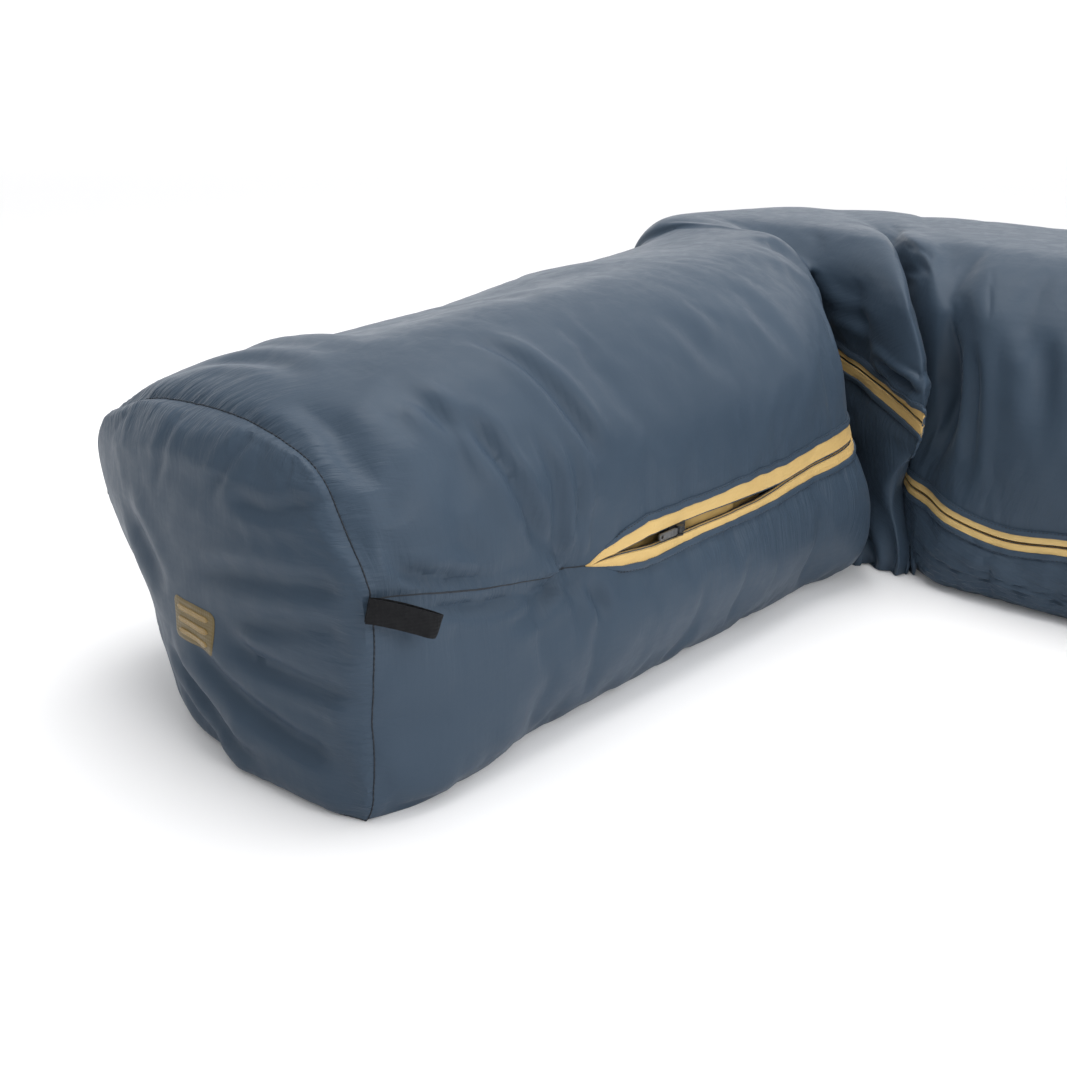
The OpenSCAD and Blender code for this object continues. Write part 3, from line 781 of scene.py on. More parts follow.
def fold(P, line, width, depth, ends=(.2, .2), shoulder=.55):
    """A soft crease along a line: a groove with raised shoulders, fading at both ends."""
    line = catmull(np.asarray(line, float), [6] * (len(line) - 1), False)
    d, t = to_line(P, line)
    fade = smooth(t / max(ends[0], 1e-3)) * smooth((1 - t) / max(ends[1], 1e-3))
    x = d / width
    return depth * fade * (-np.exp(-x * x) + shoulder * np.exp(-((x - 1.9) / 1.1) ** 2))


def rise(P, line, width, height, ends=(.25, .25)):
    line = catmull(np.asarray(line, float), [6] * (len(line) - 1), False)
    d, t = to_line(P, line)
    fade = smooth(t / max(ends[0], 1e-3)) * smooth((1 - t) / max(ends[1], 1e-3))
    return height * fade * np.exp(-(d / width) ** 2)


yl = LINE[:, 1][:, None]
leg_part = 1 - smooth((STN[:, None] - i_r1 + 10) / 20.0)
side_seam = smooth((.235 - yl) / .03) * (STN[:, None] < i_r1)
D = np.zeros(S.shape)
# slow swell of the filling and broad soft folds
D += .0024 * fbm(np.stack([G[..., 0] * 6, G[..., 1] * 6, G[..., 2] * 6], -1), 3, 2)
D += .0006 * fbm(G * 20, 5, 2)
# drawn-up cloth by the side seam
k = noise(np.stack([T * 75, S * 16, 0 * S], -1), 11) + .6 * noise(np.stack([T * 150, S * 22, 0 * S], -1), 12)
D += side_seam * .0013 * k * np.exp(-np.abs(S) / .030)
# drawn-up cloth below the zip, and a little above it
k = noise(np.stack([T * 75, S * 7, 0 * S], -1), 21) + .4 * noise(np.stack([T * 120, S * 10, 0 * S], -1), 22)
below = np.exp(-np.clip(-S - .012, 0, 1) / .060) * (S < -.006)
above = np.exp(-np.clip(S - .018, 0, 1) / .035) * (S > .010)
zone = smooth((yl - .25) / .05) + (STN[:, None] >= i_r1)
zone = np.clip(zone, 0, 1)
D += zone * k * (.0012 * below * (.45 + .55 * smooth((yl - .36) / .1)) + .0006 * above)
# stitched edges sink in
for off in (1, -1):
    edge = (W_UP if off > 0 else W_LOW)[:, None] + HALF[:, None]
    q = (off * S - edge - .0062) / .0020
    D += zone * (-.0006) * np.exp(-q * q)
    q = (off * S - edge - .0005) / .0030
    D += zone * .0007 * np.exp(-q * q)
q = S / .0032
D += side_seam * -.0022 * np.exp(-q * q)
# gathers running back from the foot seam
U = np.arange(M)[None, :] * np.ones((N, 1))
around = S
k = noise(np.stack([around * 95, T * 14, 0 * S], -1), 31) + .6 * noise(np.stack([around * 190, T * 24, 0 * S], -1), 32)
top_only = smooth((G[..., 2] - .20) / .05)
D += k * np.exp(-T / .020) * (.0009 + .0005 * top_only)
D += -.0012 * np.exp(-(T / .004) ** 2)
# the outer side seam, hidden from the front
step = np.linalg.norm(np.roll(G, -1, 1) - G, axis=-1)
S8 = np.concatenate([np.zeros((N, 1)), np.cumsum(step, 1)[:, :-1]], 1)
S8 = S8 - S8[:, ROW[8]][:, None]
k = noise(np.stack([T * 80, S8 * 14, 0 * S], -1), 41)
D += .0010 * k * np.exp(-np.abs(S8) / .03) - .0016 * np.exp(-(S8 / .003) ** 2)
# crumples where the side meets the ground, stronger along the torso
ground = np.exp(-((G[..., 2] - .022) / .022) ** 2) * (U > ROW[14] - 12)
k = noise(np.stack([T * 42, G[..., 2] * 14, 0 * S], -1), 51)
D += ground * k * (.0012 + .0024 * smooth((STN[:, None] - i_r2) / 20.0))
# thin wandering creases
cr = ridged(np.stack([G[..., 0] * 5 + .6 * fbm(G * 9, 61, 2), G[..., 1] * 11, G[..., 2] * 5], -1), 62, 2)
D += -.0006 * cr * (.5 + .5 * leg_part) * (S > -.03)

# folds that run into the pucker at the start of the zip, and across the top and side
FOLDS = [
    # points, groove width, depth, fade at the ends
    ([(-.100, .190, .330), (-.042, .212, .311), (.002, .234, .262), (.016, .250, .215)], .0075, .0042, (.35, .25)),
    ([(-.040, .118, .300), (.003, .137, .257), (.016, .158, .205), (.018, .200, .150)], .0070, .0040, (.30, .05)),
    ([(-.006, .174, .272), (.015, .188, .222), (.018, .203, .150)], .0060, .0034, (.35, .05)),
    ([(-.056, .094, .306), (-.026, .107, .286), (-.004, .118, .262)], .0070, .0032, (.35, .45)),
    ([(.000, .208, .262), (.016, .216, .210), (.018, .212, .152)], .0055, .0026, (.4, .05)),
    ([(-.012, .150, .280), (.010, .166, .238), (.018, .196, .165)], .0055, .0026, (.4, .1)),
    ([(.014, .020, .196), (.018, .075, .176), (.019, .130, .160)], .0050, .0030, (.15, .3)),
    ([(.014, .035, .166), (.019, .100, .149), (.018, .165, .140), (.017, .200, .139)], .0055, .0030, (.2, .1)),
    ([(.018, .110, .120), (.020, .160, .128), (.018, .198, .139)], .0070, .0030, (.45, .1)),
    ([(.022, .205, .075), (.021, .208, .105), (.018, .205, .136)], .0070, .0028, (.5, .1)),
    ([(.022, .250, .080), (.021, .235, .110), (.017, .212, .138)], .0070, .0024, (.5, .1)),
    ([(-.072, .404, .330), (-.030, .425, .304), (.008, .447, .245)], .0140, .0022, (.4, .4)),
    ([(-.10, .530, .333), (-.045, .545, .310), (.010, .560, .250), (.017, .570, .205)], .0130, .0020, (.4, .4)),
    ([(-.300, .060, .277), (-.200, .075, .309), (-.110, .060, .303)], .0100, .0026, (.4, .4)),
    ([(-.330, .150, .285), (-.230, .175, .322), (-.130, .150, .319)], .0160, .0024, (.4, .4)),
    ([(-.28, .30, .325), (-.18, .33, .334), (-.10, .30, .329)], .0160, .0020, (.4, .4)),
    # by the bend
    ([(-.030, .735, .235), (.010, .722, .222), (.050, .705, .215), (.077, .694, .207)], .0050, .0036, (.1, .12)),
    ([(-.115, .800, .270), (-.060, .780, .262), (-.010, .757, .262), (.030, .733, .262)], .0075, .0032, (.2, .4)),
    ([(-.060, .778, .160), (-.020, .762, .140), (.020, .735, .125)], .0070, .0034, (.2, .4)),
    ([(-.040, .770, .100), (.000, .755, .080), (.034, .728, .066)], .0060, .0030, (.2, .4)),
    ([(.10, .722, .270), (.118, .710, .220), (.128, .703, .150), (.124, .703, .115)], .0080, .0030, (.25, .4)),
    ([(.170, .722, .296), (.190, .702, .240), (.196, .697, .180)], .0110, .0030, (.35, .4)),
    ([(.260, .735, .302), (.262, .700, .240), (.250, .696, .170)], .0130, .0030, (.35, .4)),
    ([(.135, .706, .062), (.160, .706, .045), (.200, .712, .035)], .0060, .0030, (.3, .4)),
]
for k_, (line, width, depth, ends) in enumerate(FOLDS):
    crisp = 1.6 if k_ < 11 else (2.2 if k_ == 16 else 1.4 if k_ < 19 else 2.3)
    D += fold(G, line, width * (1.2 if k_ < 11 else 1.1), depth * crisp, ends)
D += rise(G, [(.018, .140, .190), (.020, .160, .230), (.010, .150, .262)], .020, .0030)
D += rise(G, [(.020, .230, .185), (.016, .236, .235)], .016, .0028)
D += -.0065 * np.exp(-(np.linalg.norm(G - np.array([.017, .2065, .1435]), axis=-1) / .011) ** 2)

near_end = smooth((T[-1][None, :] - T) / .03)
D *= .15 + .85 * near_end
under = smooth((G[..., 2] - .001) / .01)
NRM = grid_normals(G, True)
G2 = G + NRM * (D * under)[..., None]
G2[..., 2] = np.maximum(G2[..., 2], .0004)
Z_SOFT = .3365                                         # the loft stays inside the CAD height and its allowance
G2[..., 2] = np.where(G2[..., 2] > Z_SOFT, Z_SOFT + .0105 * np.tanh((G2[..., 2] - Z_SOFT) / .0105), G2[..., 2])

# the foot panel: gathers under its top seam, puckers beside its side seam, long draped folds low down
cu = np.linspace(0, 1, CM)[None, :] * np.ones((CN, 1))
cv = np.linspace(0, 1, CN)[:, None] * np.ones((1, CM))
width_c, height_c = .385, .27
DC = .0010 * fbm(CAP * 7, 71, 2) + .0003 * fbm(CAP * 20, 72, 2)
k = noise(np.stack([CAP[..., 0] * 105, CAP[..., 2] * 13, 0 * cu], -1), 73) + .6 * noise(np.stack([CAP[..., 0] * 210, CAP[..., 2] * 20, 0 * cu], -1), 74)
DC += k * .0010 * np.exp(-(1 - cv) * height_c / .030)
k = noise(np.stack([CAP[..., 2] * 85, CAP[..., 0] * 13, 0 * cu], -1), 75) + .6 * noise(np.stack([CAP[..., 2] * 160, CAP[..., 0] * 20, 0 * cu], -1), 76)
DC += k * .0010 * np.exp(-cu * width_c / .028)
k = noise(np.stack([CAP[..., 0] * 60, CAP[..., 2] * 20, 0 * cu], -1), 77)
DC += k * .0012 * np.exp(-cv * height_c / .02)
DC += -.0002 * ridged(np.stack([CAP[..., 0] * 9, CAP[..., 1] * 4, CAP[..., 2] * 6 + CAP[..., 0] * 5], -1), 78, 2)
CAP_FOLDS = [
    ([(-.235, .085), (-.215, .068), (-.172, .045), (-.128, .026), (-.069, .017)], .0085, .0050, (.25, .35)),
    ([(-.190, .108), (-.166, .091), (-.122, .072), (-.072, .057), (-.012, .048)], .0080, .0044, (.25, .15)),
    ([(-.150, .128), (-.131, .120), (-.088, .109), (-.034, .105), (.004, .108)], .0075, .0040, (.3, .1)),
    ([(-.225, .050), (-.200, .030), (-.145, .010)], .0080, .0036, (.35, .35)),
    ([(-.160, .122), (-.110, .136), (-.060, .147), (-.004, .158)], .0070, .0028, (.35, .1)),
    ([(-.190, .152), (-.124, .173), (-.059, .182), (-.002, .187)], .0075, .0030, (.4, .1)),
    ([(-.125, .236), (-.074, .232), (-.040, .242), (-.022, .244)], .0060, .0022, (.4, .15)),
    ([(-.112, .279), (-.128, .250), (-.148, .222)], .0060, .0022, (.05, .5)),
    ([(-.205, .276), (-.215, .245), (-.235, .205)], .0060, .0014, (.05, .5)),
    ([(-.300, .190), (-.250, .150), (-.215, .118)], .0120, .0034, (.35, .4)),
    ([(-.325, .100), (-.300, .075), (-.265, .045)], .0080, .0022, (.3, .4)),
]
flat = np.stack([CAP[..., 0], 0 * cu, CAP[..., 2]], -1)
for line, width, depth, ends in CAP_FOLDS:
    DC += fold(flat, [(a, 0, b) for a, b in line], width * 1.08, depth * 1.25, ends)
CNRM = grid_normals(CAP, False)
edge_in = smooth(np.minimum(np.minimum(cu, 1 - cu) * width_c, np.minimum(cv, 1 - cv) * height_c) / .006)
CAP2 = CAP + CNRM * (DC * edge_in)[..., None]
CAP2[..., 2] = np.maximum(CAP2[..., 2], .0004)
for j in range(M):                                      # the seam itself stays shared
    a, b = SEAM_IJ[j]
    CAP2[a, b] = G2[0, j]


# ------------------------------------------------------------------ shell panels, opened along the zip
def unit(v):
    return v / np.maximum(np.linalg.norm(v, axis=-1, keepdims=True), 1e-12)


UP = G2[:, 0:ROW[8] + 1].copy()
LOW = np.concatenate([G2[:, ROW[8]:M], G2[:, :1]], 1)[:, ::-1].copy()      # from the zip line down and under
NUP = grid_normals(G2, True)[:, 0:ROW[8] + 1]
NLOW = np.concatenate([grid_normals(G2, True)[:, ROW[8]:M], grid_normals(G2, True)[:, :1]], 1)[:, ::-1]


def open_panel(P, half):
    d = np.linalg.norm(np.diff(P, axis=1), axis=-1)
    s = np.concatenate([np.zeros((len(P), 1)), np.cumsum(d, 1)], 1)
    tan = unit(np.gradient(P, axis=1))
    w = np.exp(-(s / .030) ** 2) * half[:, None]
    return P + tan * w[..., None]


UP, LOW = open_panel(UP, HALF), open_panel(LOW, HALF)


def strip(P, Nn, s_from, s_to, samples, lift, rows=None):
    """Points at given distances from a panel's zip edge, lifted off its surface."""
    d = np.linalg.norm(np.diff(P, axis=1), axis=-1)
    s = np.concatenate([np.zeros((len(P), 1)), np.cumsum(d, 1)], 1)
    rows = np.arange(len(P)) if rows is None else rows
    out = np.zeros((len(rows), samples, 3))
    for r, i in enumerate(rows):
        at = np.linspace(s_from[i], s_to[i], samples)
        q = np.stack([np.interp(at, s[i], P[i, :, c]) for c in range(3)], -1)
        n = np.stack([np.interp(at, s[i], Nn[i, :, c]) for c in range(3)], -1)
        out[r] = q + unit(n) * (lift[i] if np.ndim(lift) else lift)
    return out


THICK = .0010
shell_upper = slab("shell_upper", UP, UP - NUP * THICK, SHELL)
shell_lower = slab("shell_lower", LOW, LOW - NLOW * THICK, SHELL, flip=True)
shell_foot = slab("shell_foot", CAP2, CAP2 - grid_normals(CAP2, False) * THICK, SHELL)
PIECES = {"shell_upper": shell_upper, "shell_lower": shell_lower, "shell_foot": shell_foot}


def set_gather(ob, A, B):
    for nm, F in (("gather_a", A), ("gather_b", B)):
        at = ob.data.attributes.new(nm, "FLOAT_VECTOR", "POINT")
        v = np.concatenate([F.reshape(-1, 3), F.reshape(-1, 3)]).astype(np.float32)
        at.data.foreach_set("vector", v.ravel())


top_w = .35 + .65 * smooth((G[..., 2] - .16) / .08)
GA = np.stack([S * 105, T * 22, np.exp(-T / .024) * top_w * 1.0], -1)
zip_on = zone * np.ones(S.shape)
str_b = side_seam * np.exp(-np.abs(S) / .034) * .9
str_b = str_b + zip_on * ((.62 - .34 * (STN[:, None] > i_r2)) * np.exp(-np.clip(-S - .020, 0, 1) / .075) * (S < 0) * (.35 + .65 * smooth((yl - .34) / .12)) + .30 * np.exp(-np.clip(S - .022, 0, 1) / .035) * (S > 0))
str_b = np.clip(str_b + .8 * np.exp(-np.abs(S8) / .030), 0, 1)
GB = np.stack([T * 105, np.where(np.abs(S8) < .15, S8 * 12 + 40, S * 12), str_b * (1 - .35 * side_seam)], -1)
wrap = lambda F: np.concatenate([F[:, ROW[8]:M], F[:, :1]], 1)[:, ::-1]
set_gather(shell_upper, GA[:, 0:ROW[8] + 1], GB[:, 0:ROW[8] + 1])
set_gather(shell_lower, wrap(GA), wrap(GB))
aw_t, aw_s = (1 - cv) * height_c, cu * width_c
CA = np.stack([CAP[..., 0] * 105, aw_t * 20, np.exp(-aw_t / .028)], -1)
CB = np.stack([CAP[..., 2] * 95, aw_s * 18, np.clip(np.exp(-aw_s / .030) + .5 * np.exp(-(width_c - aw_s) / .02), 0, 1)], -1)
set_gather(shell_foot, CA, CB)

# ------------------------------------------------------------------ zip: tapes, coils and the filled draft tube
first = int(np.argmax(ON_ZIP))
last = N - 2
ZR = np.arange(first, last + 1)


def tape(name, P, Nn, width, flip):
    """A gold strip sewn over the edge of a shell panel, with a rolled inner edge and a stitched outer one."""
    k = 9
    s = strip(P, Nn, -.0002 + 0 * width, width, k, 0.0, ZR)
    n = strip(P, Nn, -.0002 + 0 * width, width, k, 1.0, ZR) - s
    t = ZT[ZR][:, None]
    e = np.linspace(0, 1, k)[None, :]
    wv = .00022 * noise(np.stack([t * 190 + 0 * e, e * 3 + 0 * t, 0 * t + 0 * e], -1), 81) + .00035 * noise(np.stack([t * 60 + 0 * e, e * 2.5 + 0 * t, 0 * t + 0 * e], -1), 82)
    start = np.exp(-(t - t[0]) / .03)
    wv = wv * (1 + 2.2 * start)
    lift = .0013 + wv - .0010 * smooth((e - .80) / .20) + .0005 * np.exp(-((e - .06) / .07) ** 2) - .0005 * np.exp(-((e - .74) / .05) ** 2)
    outer = s + n * lift[..., None]
    inner = s + n * (lift - .0009)[..., None]
    crest = 1 - .92 * np.exp(-((ZR - i_r2) / 6.0) ** 2)[:, None]    # nearly flat where it turns over the sharp ridge
    inner[:, 0] = s[:, 0] - n[:, 0] * .0035 * crest               # the edge folds in over the coil
    outer[:, 0] = s[:, 0] - n[:, 0] * .0022 * crest + (s[:, 0] - s[:, 1]) * .05
    return slab(name, outer, inner, GOLD, flip=flip), s, n, lift


def mean_step(P):
    return float(np.linalg.norm(np.diff(P, axis=0), axis=1).mean())


tape_upper, su, nu, lu = tape("zip_tape_upper_strip", UP, NUP, W_UP, False)
tape_lower, sl, nl, ll = tape("zip_tape_lower_strip", LOW, NLOW, W_LOW, True)
PIECES["tape_upper"], PIECES["tape_lower"] = tape_upper, tape_lower


def folded_edge(name, P, Nn, width, flip):
    """The shell's turned-under edge, stitched down over the tape."""
    rows = ZR[6:]
    e = np.array([0, .05, .14, .32, .55, .78, .90, .96, 1.0])
    h = np.array([.0008, .0019, .0023, .0021, .0019, .0018, .0011, .0013, .0002])
    grow = smooth((LINE[rows, 1] - .236) / .05) + (rows >= i_r1)
    grow = np.clip(grow, 0, 1)
    a, b = width[rows] - .0012 * grow, width[rows] + .0004 + .0056 * grow
    d = np.linalg.norm(np.diff(P, axis=1), axis=-1)
    sacc = np.concatenate([np.zeros((len(P), 1)), np.cumsum(d, 1)], 1)
    q = np.zeros((len(rows), len(e), 3)); n = np.zeros_like(q)
    for r, i in enumerate(rows):
        at = a[r] + (b[r] - a[r]) * e
        q[r] = np.stack([np.interp(at, sacc[i], P[i, :, c]) for c in range(3)], -1)
        n[r] = np.stack([np.interp(at, sacc[i], Nn[i, :, c]) for c in range(3)], -1)
    n = unit(n)
    t = ZT[rows][:, None]
    wv = .00022 * noise(np.stack([t * 120 + 0 * e, e * 2 + 0 * t, 0 * t + 0 * e], -1), 131)
    taper = smooth(np.minimum(np.arange(len(rows)), len(rows) - 1 - np.arange(len(rows))) / 5.0)[:, None]
    taper = taper * (.25 + .75 * grow[:, None])
    top = q + n * (((h + wv) * (.2 + .8 * taper)))[..., None]
    bot = q + n * np.minimum(.0004, h * .5)[None, :, None]
    return slab(name, top, bot, SHELL, flip=flip)


PIECES["fold_upper"] = folded_edge("zip_fold_upper_edge", UP, NUP, W_UP, False)
PIECES["fold_lower"] = folded_edge("zip_fold_lower_edge", LOW, NLOW, W_LOW, True)


def frames(path):
    t = unit(np.gradient(path, axis=0))
    return t


def resample(path, step):
    d = np.concatenate([[0], np.cumsum(np.linalg.norm(np.diff(path, axis=0), axis=1))])
    n = max(2, int(round(d[-1] / step)) + 1)
    at = np.linspace(0, d[-1], n)
    return np.stack([np.interp(at, d, path[:, c]) for c in range(3)], -1), at, d


def tube(name, path, across, up, ra, rb, sides, material, caps=True, profile=None):
    """A closed tube with an oval section: ra along across, rb along up, each a number or one per point."""
    n = len(path)
    ra, rb = np.broadcast_to(ra, n), np.broadcast_to(rb, n)
    a = np.linspace(0, 2 * math.pi, sides, endpoint=False)
    ring = path[:, None] + across[:, None] * (np.cos(a)[None, :, None] * ra[:, None, None]) + up[:, None] * (np.sin(a)[None, :, None] * rb[:, None, None])
    if profile is not None:
        ring = ring + profile(n, sides)
    verts = ring.reshape(-1, 3)
    faces = grid_faces(n, sides, True).tolist()
    verts = np.concatenate([verts, path[:1], path[-1:]])
    for j in range(sides):
        j2 = (j + 1) % sides
        faces.append([n * sides, j2, j])
        faces.append([n * sides + 1, (n - 1) * sides + j, (n - 1) * sides + j2])
    ob = mesh_from(name, to_frame(verts), faces, material)
    import bmesh
    bm = bmesh.new(); bm.from_mesh(ob.data)
    bmesh.ops.recalc_face_normals(bm, faces=bm.faces[:])
    bm.to_mesh(ob.data); bm.free()
    return ob


def coil(name, edge, out, side, material):
    """A nylon coil sewn along one tape edge: a flattened helix behind the tape."""
    pts, at, d = resample(edge, .00028)
    o = np.stack([np.interp(at, d, out[:, c]) for c in range(3)], -1)
    w = np.stack([np.interp(at, d, side[:, c]) for c in range(3)], -1)
    ker = np.hanning(61); ker /= ker.sum()
    pad = lambda A: np.stack([np.convolve(np.pad(A[:, c], 30, "edge"), ker, "valid") for c in range(3)], -1)
    o, w = unit(pad(pad(o))), unit(pad(pad(w)))
    ph = at / .0021 * 2 * math.pi
    ks = np.hanning(17); ks /= ks.sum()
    soft = np.stack([np.convolve(np.pad(pts[:, c], 8, "edge"), ks, "valid") for c in range(3)], -1)
    at_crest = np.exp(-(np.linalg.norm(soft - LINE[i_r2], axis=-1, keepdims=True) / .014) ** 2)
    path = soft - o * (.0044 - .0036 * at_crest) + o * (np.sin(ph) * .0009)[:, None] * (1 - .6 * at_crest) + w * (np.cos(ph) * .0012 - .0006)[:, None]
    t = unit(np.gradient(path, axis=0))
    a = unit(np.cross(t, o))
    b = np.cross(a, t)
    return tube(name, path, a, b, .00042, .00042, 5, material)


COIL = fabric("nylon_coil", srgb(20, 21, 24), srgb(34, 35, 39), rough=(.3, .45), weave=400, weave_bump=.02, sheen=0, crinkle=(300, .1))
edge_u, edge_l = su[:, 0], sl[:, 0]
PIECES["coil_upper"] = coil("zip_coil_upper_helix", edge_u, nu[:, 0], unit(su[:, 0] - su[:, 1]), COIL)
PIECES["coil_lower"] = coil("zip_coil_lower_helix", edge_l, nl[:, 0], unit(sl[:, 0] - sl[:, 1]), COIL)

# draft tubes: soft filled rolls right behind the zip, one along the leg and one along the torso
def draft(name, rows, seed):
    keep = np.isin(ZR, rows)
    mid = ((su[:, 0] + sl[:, 0]) / 2)[keep]
    out_n = unit(nu[:, 0] + nl[:, 0])[keep]
    w_dir = unit(su[:, 4] - sl[:, 4])[keep]
    pts, at, d = resample(mid, .004)
    o = unit(np.stack([np.interp(at, d, out_n[:, c]) for c in range(3)], -1))
    w = unit(np.stack([np.interp(at, d, w_dir[:, c]) for c in range(3)], -1))
    yy = pts[:, 1]
    leg = yy < .66
    drop = np.where(leg, .0075 + .010 * smooth((yy - .452) / .012) * (1 - smooth((yy - .54) / .03)) + .0075 * smooth((.390 - yy) / .012), .0075)
    path = pts - o * (.0065 + drop)[:, None] - w * .0015
    sides = 18
    a = np.linspace(0, 2 * math.pi, sides, endpoint=False)[None, :]
    zz = 0 * at[:, None]
    q = .0009 * noise(np.stack([at[:, None] * 110 + 0 * a, 1.5 * np.cos(a) + zz, 1.5 * np.sin(a) + zz], -1), seed)
    q = q + .0009 * noise(np.stack([at[:, None] * 45 + 0 * a, np.cos(a) + zz, np.sin(a) + zz], -1), seed + 1)
    crumple = o[:, None] * (q * np.sin(a))[..., None] + w[:, None] * (q * np.cos(a))[..., None]
    endf = np.minimum(1, np.minimum(np.arange(len(pts)), len(pts) - 1 - np.arange(len(pts))) / 4.0) ** .5
    return tube(name, path, w, o, .0120 * (.25 + .75 * endf), .0055 * (.3 + .7 * endf), sides, TAN, profile=lambda n, k: crumple)


PIECES["draft_leg"] = draft("draft_tube_leg_roll", np.arange(first + 3, i_r1 - 4), 91)
PIECES["draft_torso"] = draft("draft_tube_torso_roll", np.arange(i_t0 - 2, last - 1), 93)

# ------------------------------------------------------------------ stitches and seam lines
def stitches(name, paths, length=.0026, gap=.0012, width=.00042, high=.00042, material=None):
    """Rows of short raised stitches along paths, each a (points, outward directions) pair."""
    verts, faces = [], []
    for pth, out in paths:
        pp, at, d = resample(pth, (length + gap))
        oo = unit(np.stack([np.interp(at, d, out[:, c]) for c in range(3)], -1))
        t = unit(np.gradient(pp, axis=0))
        s = np.cross(t, oo)
        for i in range(1, len(pp) - 1):
            c, h = pp[i], length / 2
            base = len(verts)
            for f, r, z in ((-1, .25, .1), (-.55, 1, .9), (.55, 1, .9), (1, .25, .1)):
                p = c + t[i] * h * f
                verts += [p + s[i] * width * r - oo[i] * high * .4, p + s[i] * width * r * .7 + oo[i] * high * z,
                          p - s[i] * width * r * .7 + oo[i] * high * z, p - s[i] * width * r - oo[i] * high * .4]
            for a in range(3):
                q = base + 4 * a
                for b1, b2 in ((0, 1), (1, 2), (2, 3), (3, 0)):
                    faces.append((q + b1, q + b2, q + 4 + b2, q + 4 + b1))
            faces.append((base + 3, base + 2, base + 1, base))
            faces.append((base + 12, base + 13, base + 14, base + 15))
    ob = mesh_from(name, to_frame(np.array(verts)), faces, material)
    import bmesh
    bm = bmesh.new(); bm.from_mesh(ob.data)
    bmesh.ops.recalc_face_normals(bm, faces=bm.faces[:])
    bm.to_mesh(ob.data); bm.free()
    return ob


THREAD_GOLD = fabric("gold_thread", srgb(170, 134, 78), srgb(196, 160, 98), rough=(.5, .6), weave=3000, weave_bump=.2, sheen=.1, crinkle=(400, .1))
zr = ZR[6:-4]


def row_at(P, Nn, dist, lift, rows):
    s = strip(P, Nn, dist, dist + 1e-6, 1, lift, rows)[:, 0]
    n = strip(P, Nn, dist, dist + 1e-6, 1, 1.0, rows)[:, 0] - strip(P, Nn, dist, dist + 1e-6, 1, 0.0, rows)[:, 0]
    return s, n


zs = zr[(LINE[zr, 1] > .262) | (zr >= i_r1)]
PIECES["topstitch"] = stitches("zip_topstitch", [row_at(UP, NUP, W_UP + .0046, .0014, zs), row_at(LOW, NLOW, W_LOW + .0046, .0014, zs)], material=SEAM)
tx = float(np.interp(.2065, LINE[:i_r1, 1], G2[:i_r1, 0, 0]))
PIECES["foot_tack"] = stitches("zip_foot_stop_tack", [(np.array([(tx + .0004, .2035 + .0014 * q, .1395 + .001 * w) for w in range(9)]), np.tile([1.0, 0, 0], (9, 1))) for q in range(4)],
                               length=.0034, gap=.0006, width=.0006, high=.0007, material=SEAM)
PIECES["tapestitch"] = stitches("zip_tape_stitch", [row_at(UP, NUP, W_UP * .86, .0007, zr), row_at(LOW, NLOW, W_LOW * .86, .0007, zr)],
                                length=.0020, gap=.0010, width=.00028, high=.0003, material=THREAD_GOLD)


def piping(name, pts, out, r, material, sides=6, closed=False):
    """A thin raised seam line."""
    t = unit(np.gradient(pts, axis=0))
    s = unit(np.cross(t, out))
    o = np.cross(s, t)
    k = np.arange(len(pts))
    return tube(name, pts, s, o, r, r * .8, sides, material)


# foot seam all the way round
ring = np.concatenate([G2[0], G2[0, :1]])
cn_all = np.array([grid_normals(CAP2, False)[a, b] for a, b in SEAM_IJ])
bn_all = grid_normals(G2, True)[0]
ring_o = unit(cn_all + bn_all)
ring_o = np.concatenate([ring_o, ring_o[:1]])
PIECES["foot_seam"] = piping("foot_seam_line", ring[:-1] + ring_o[:-1] * .0000, ring_o[:-1], .00060, SEAM)
PIECES["foot_stitch"] = stitches("foot_seam_stitch", [(ring + ring_o * .0006, ring_o)], length=.0030, gap=.0016, width=.0004, high=.0004, material=SEAM)
# side seam from the foot seam to the zip, and the far side seam
sd = np.arange(1, first + 1)
PIECES["side_seam"] = piping("side_seam_line", G2[sd, 0] + grid_normals(G2, True)[sd, 0] * -.0002, grid_normals(G2, True)[sd, 0], .0008, SEAM)
fs = np.arange(1, N - 1)
PIECES["far_seam"] = piping("far_seam_line", G2[fs, ROW[8]] + grid_normals(G2, True)[fs, ROW[8]] * -.0002, grid_normals(G2, True)[fs, ROW[8]], .0008, SEAM)

# ------------------------------------------------------------------ the lining: its own smoother net, a wall's thickness inside
WALL = .034
INNER = [(-.021, .050), (-.021, .12), (-.021, .20), (-.021, .30), (-.021, .40), (-.022, .50), (-.026, .58)]
ls = []


def lining_section(shell, x0, y0, e):
    """Sixteen points a wall's thickness inside a shell section whose zip-side wall passes (x0, y0); e points outward across."""
    e = np.array([e[0], e[1], 0.0]) / math.hypot(*e)
    c = np.array([x0, y0, 0.0])
    z = lambda h: np.array([0, 0, h])
    up = z(-WALL)
    pts = [c + z(.155), c + z(.225), c + e * .030 + z(min(.268, shell[2][2] - .030)), None, None, None, None, None, None, None, None, None, None, None,
           c + e * .030 + z(.040), c + z(.085)]
    for r in (3, 4, 5):
        pts[r] = shell[r] + up
    pts[6] = shell[6] - e * .026 - z(.028)
    for r in (7, 8, 9):
        pts[r] = shell[r] - e * WALL
    pts[10] = shell[10] - e * .026 + z(.026)
    for r in (11, 12, 13):
        pts[r] = np.array([shell[r][0], shell[r][1], WALL])
    return np.array(pts)


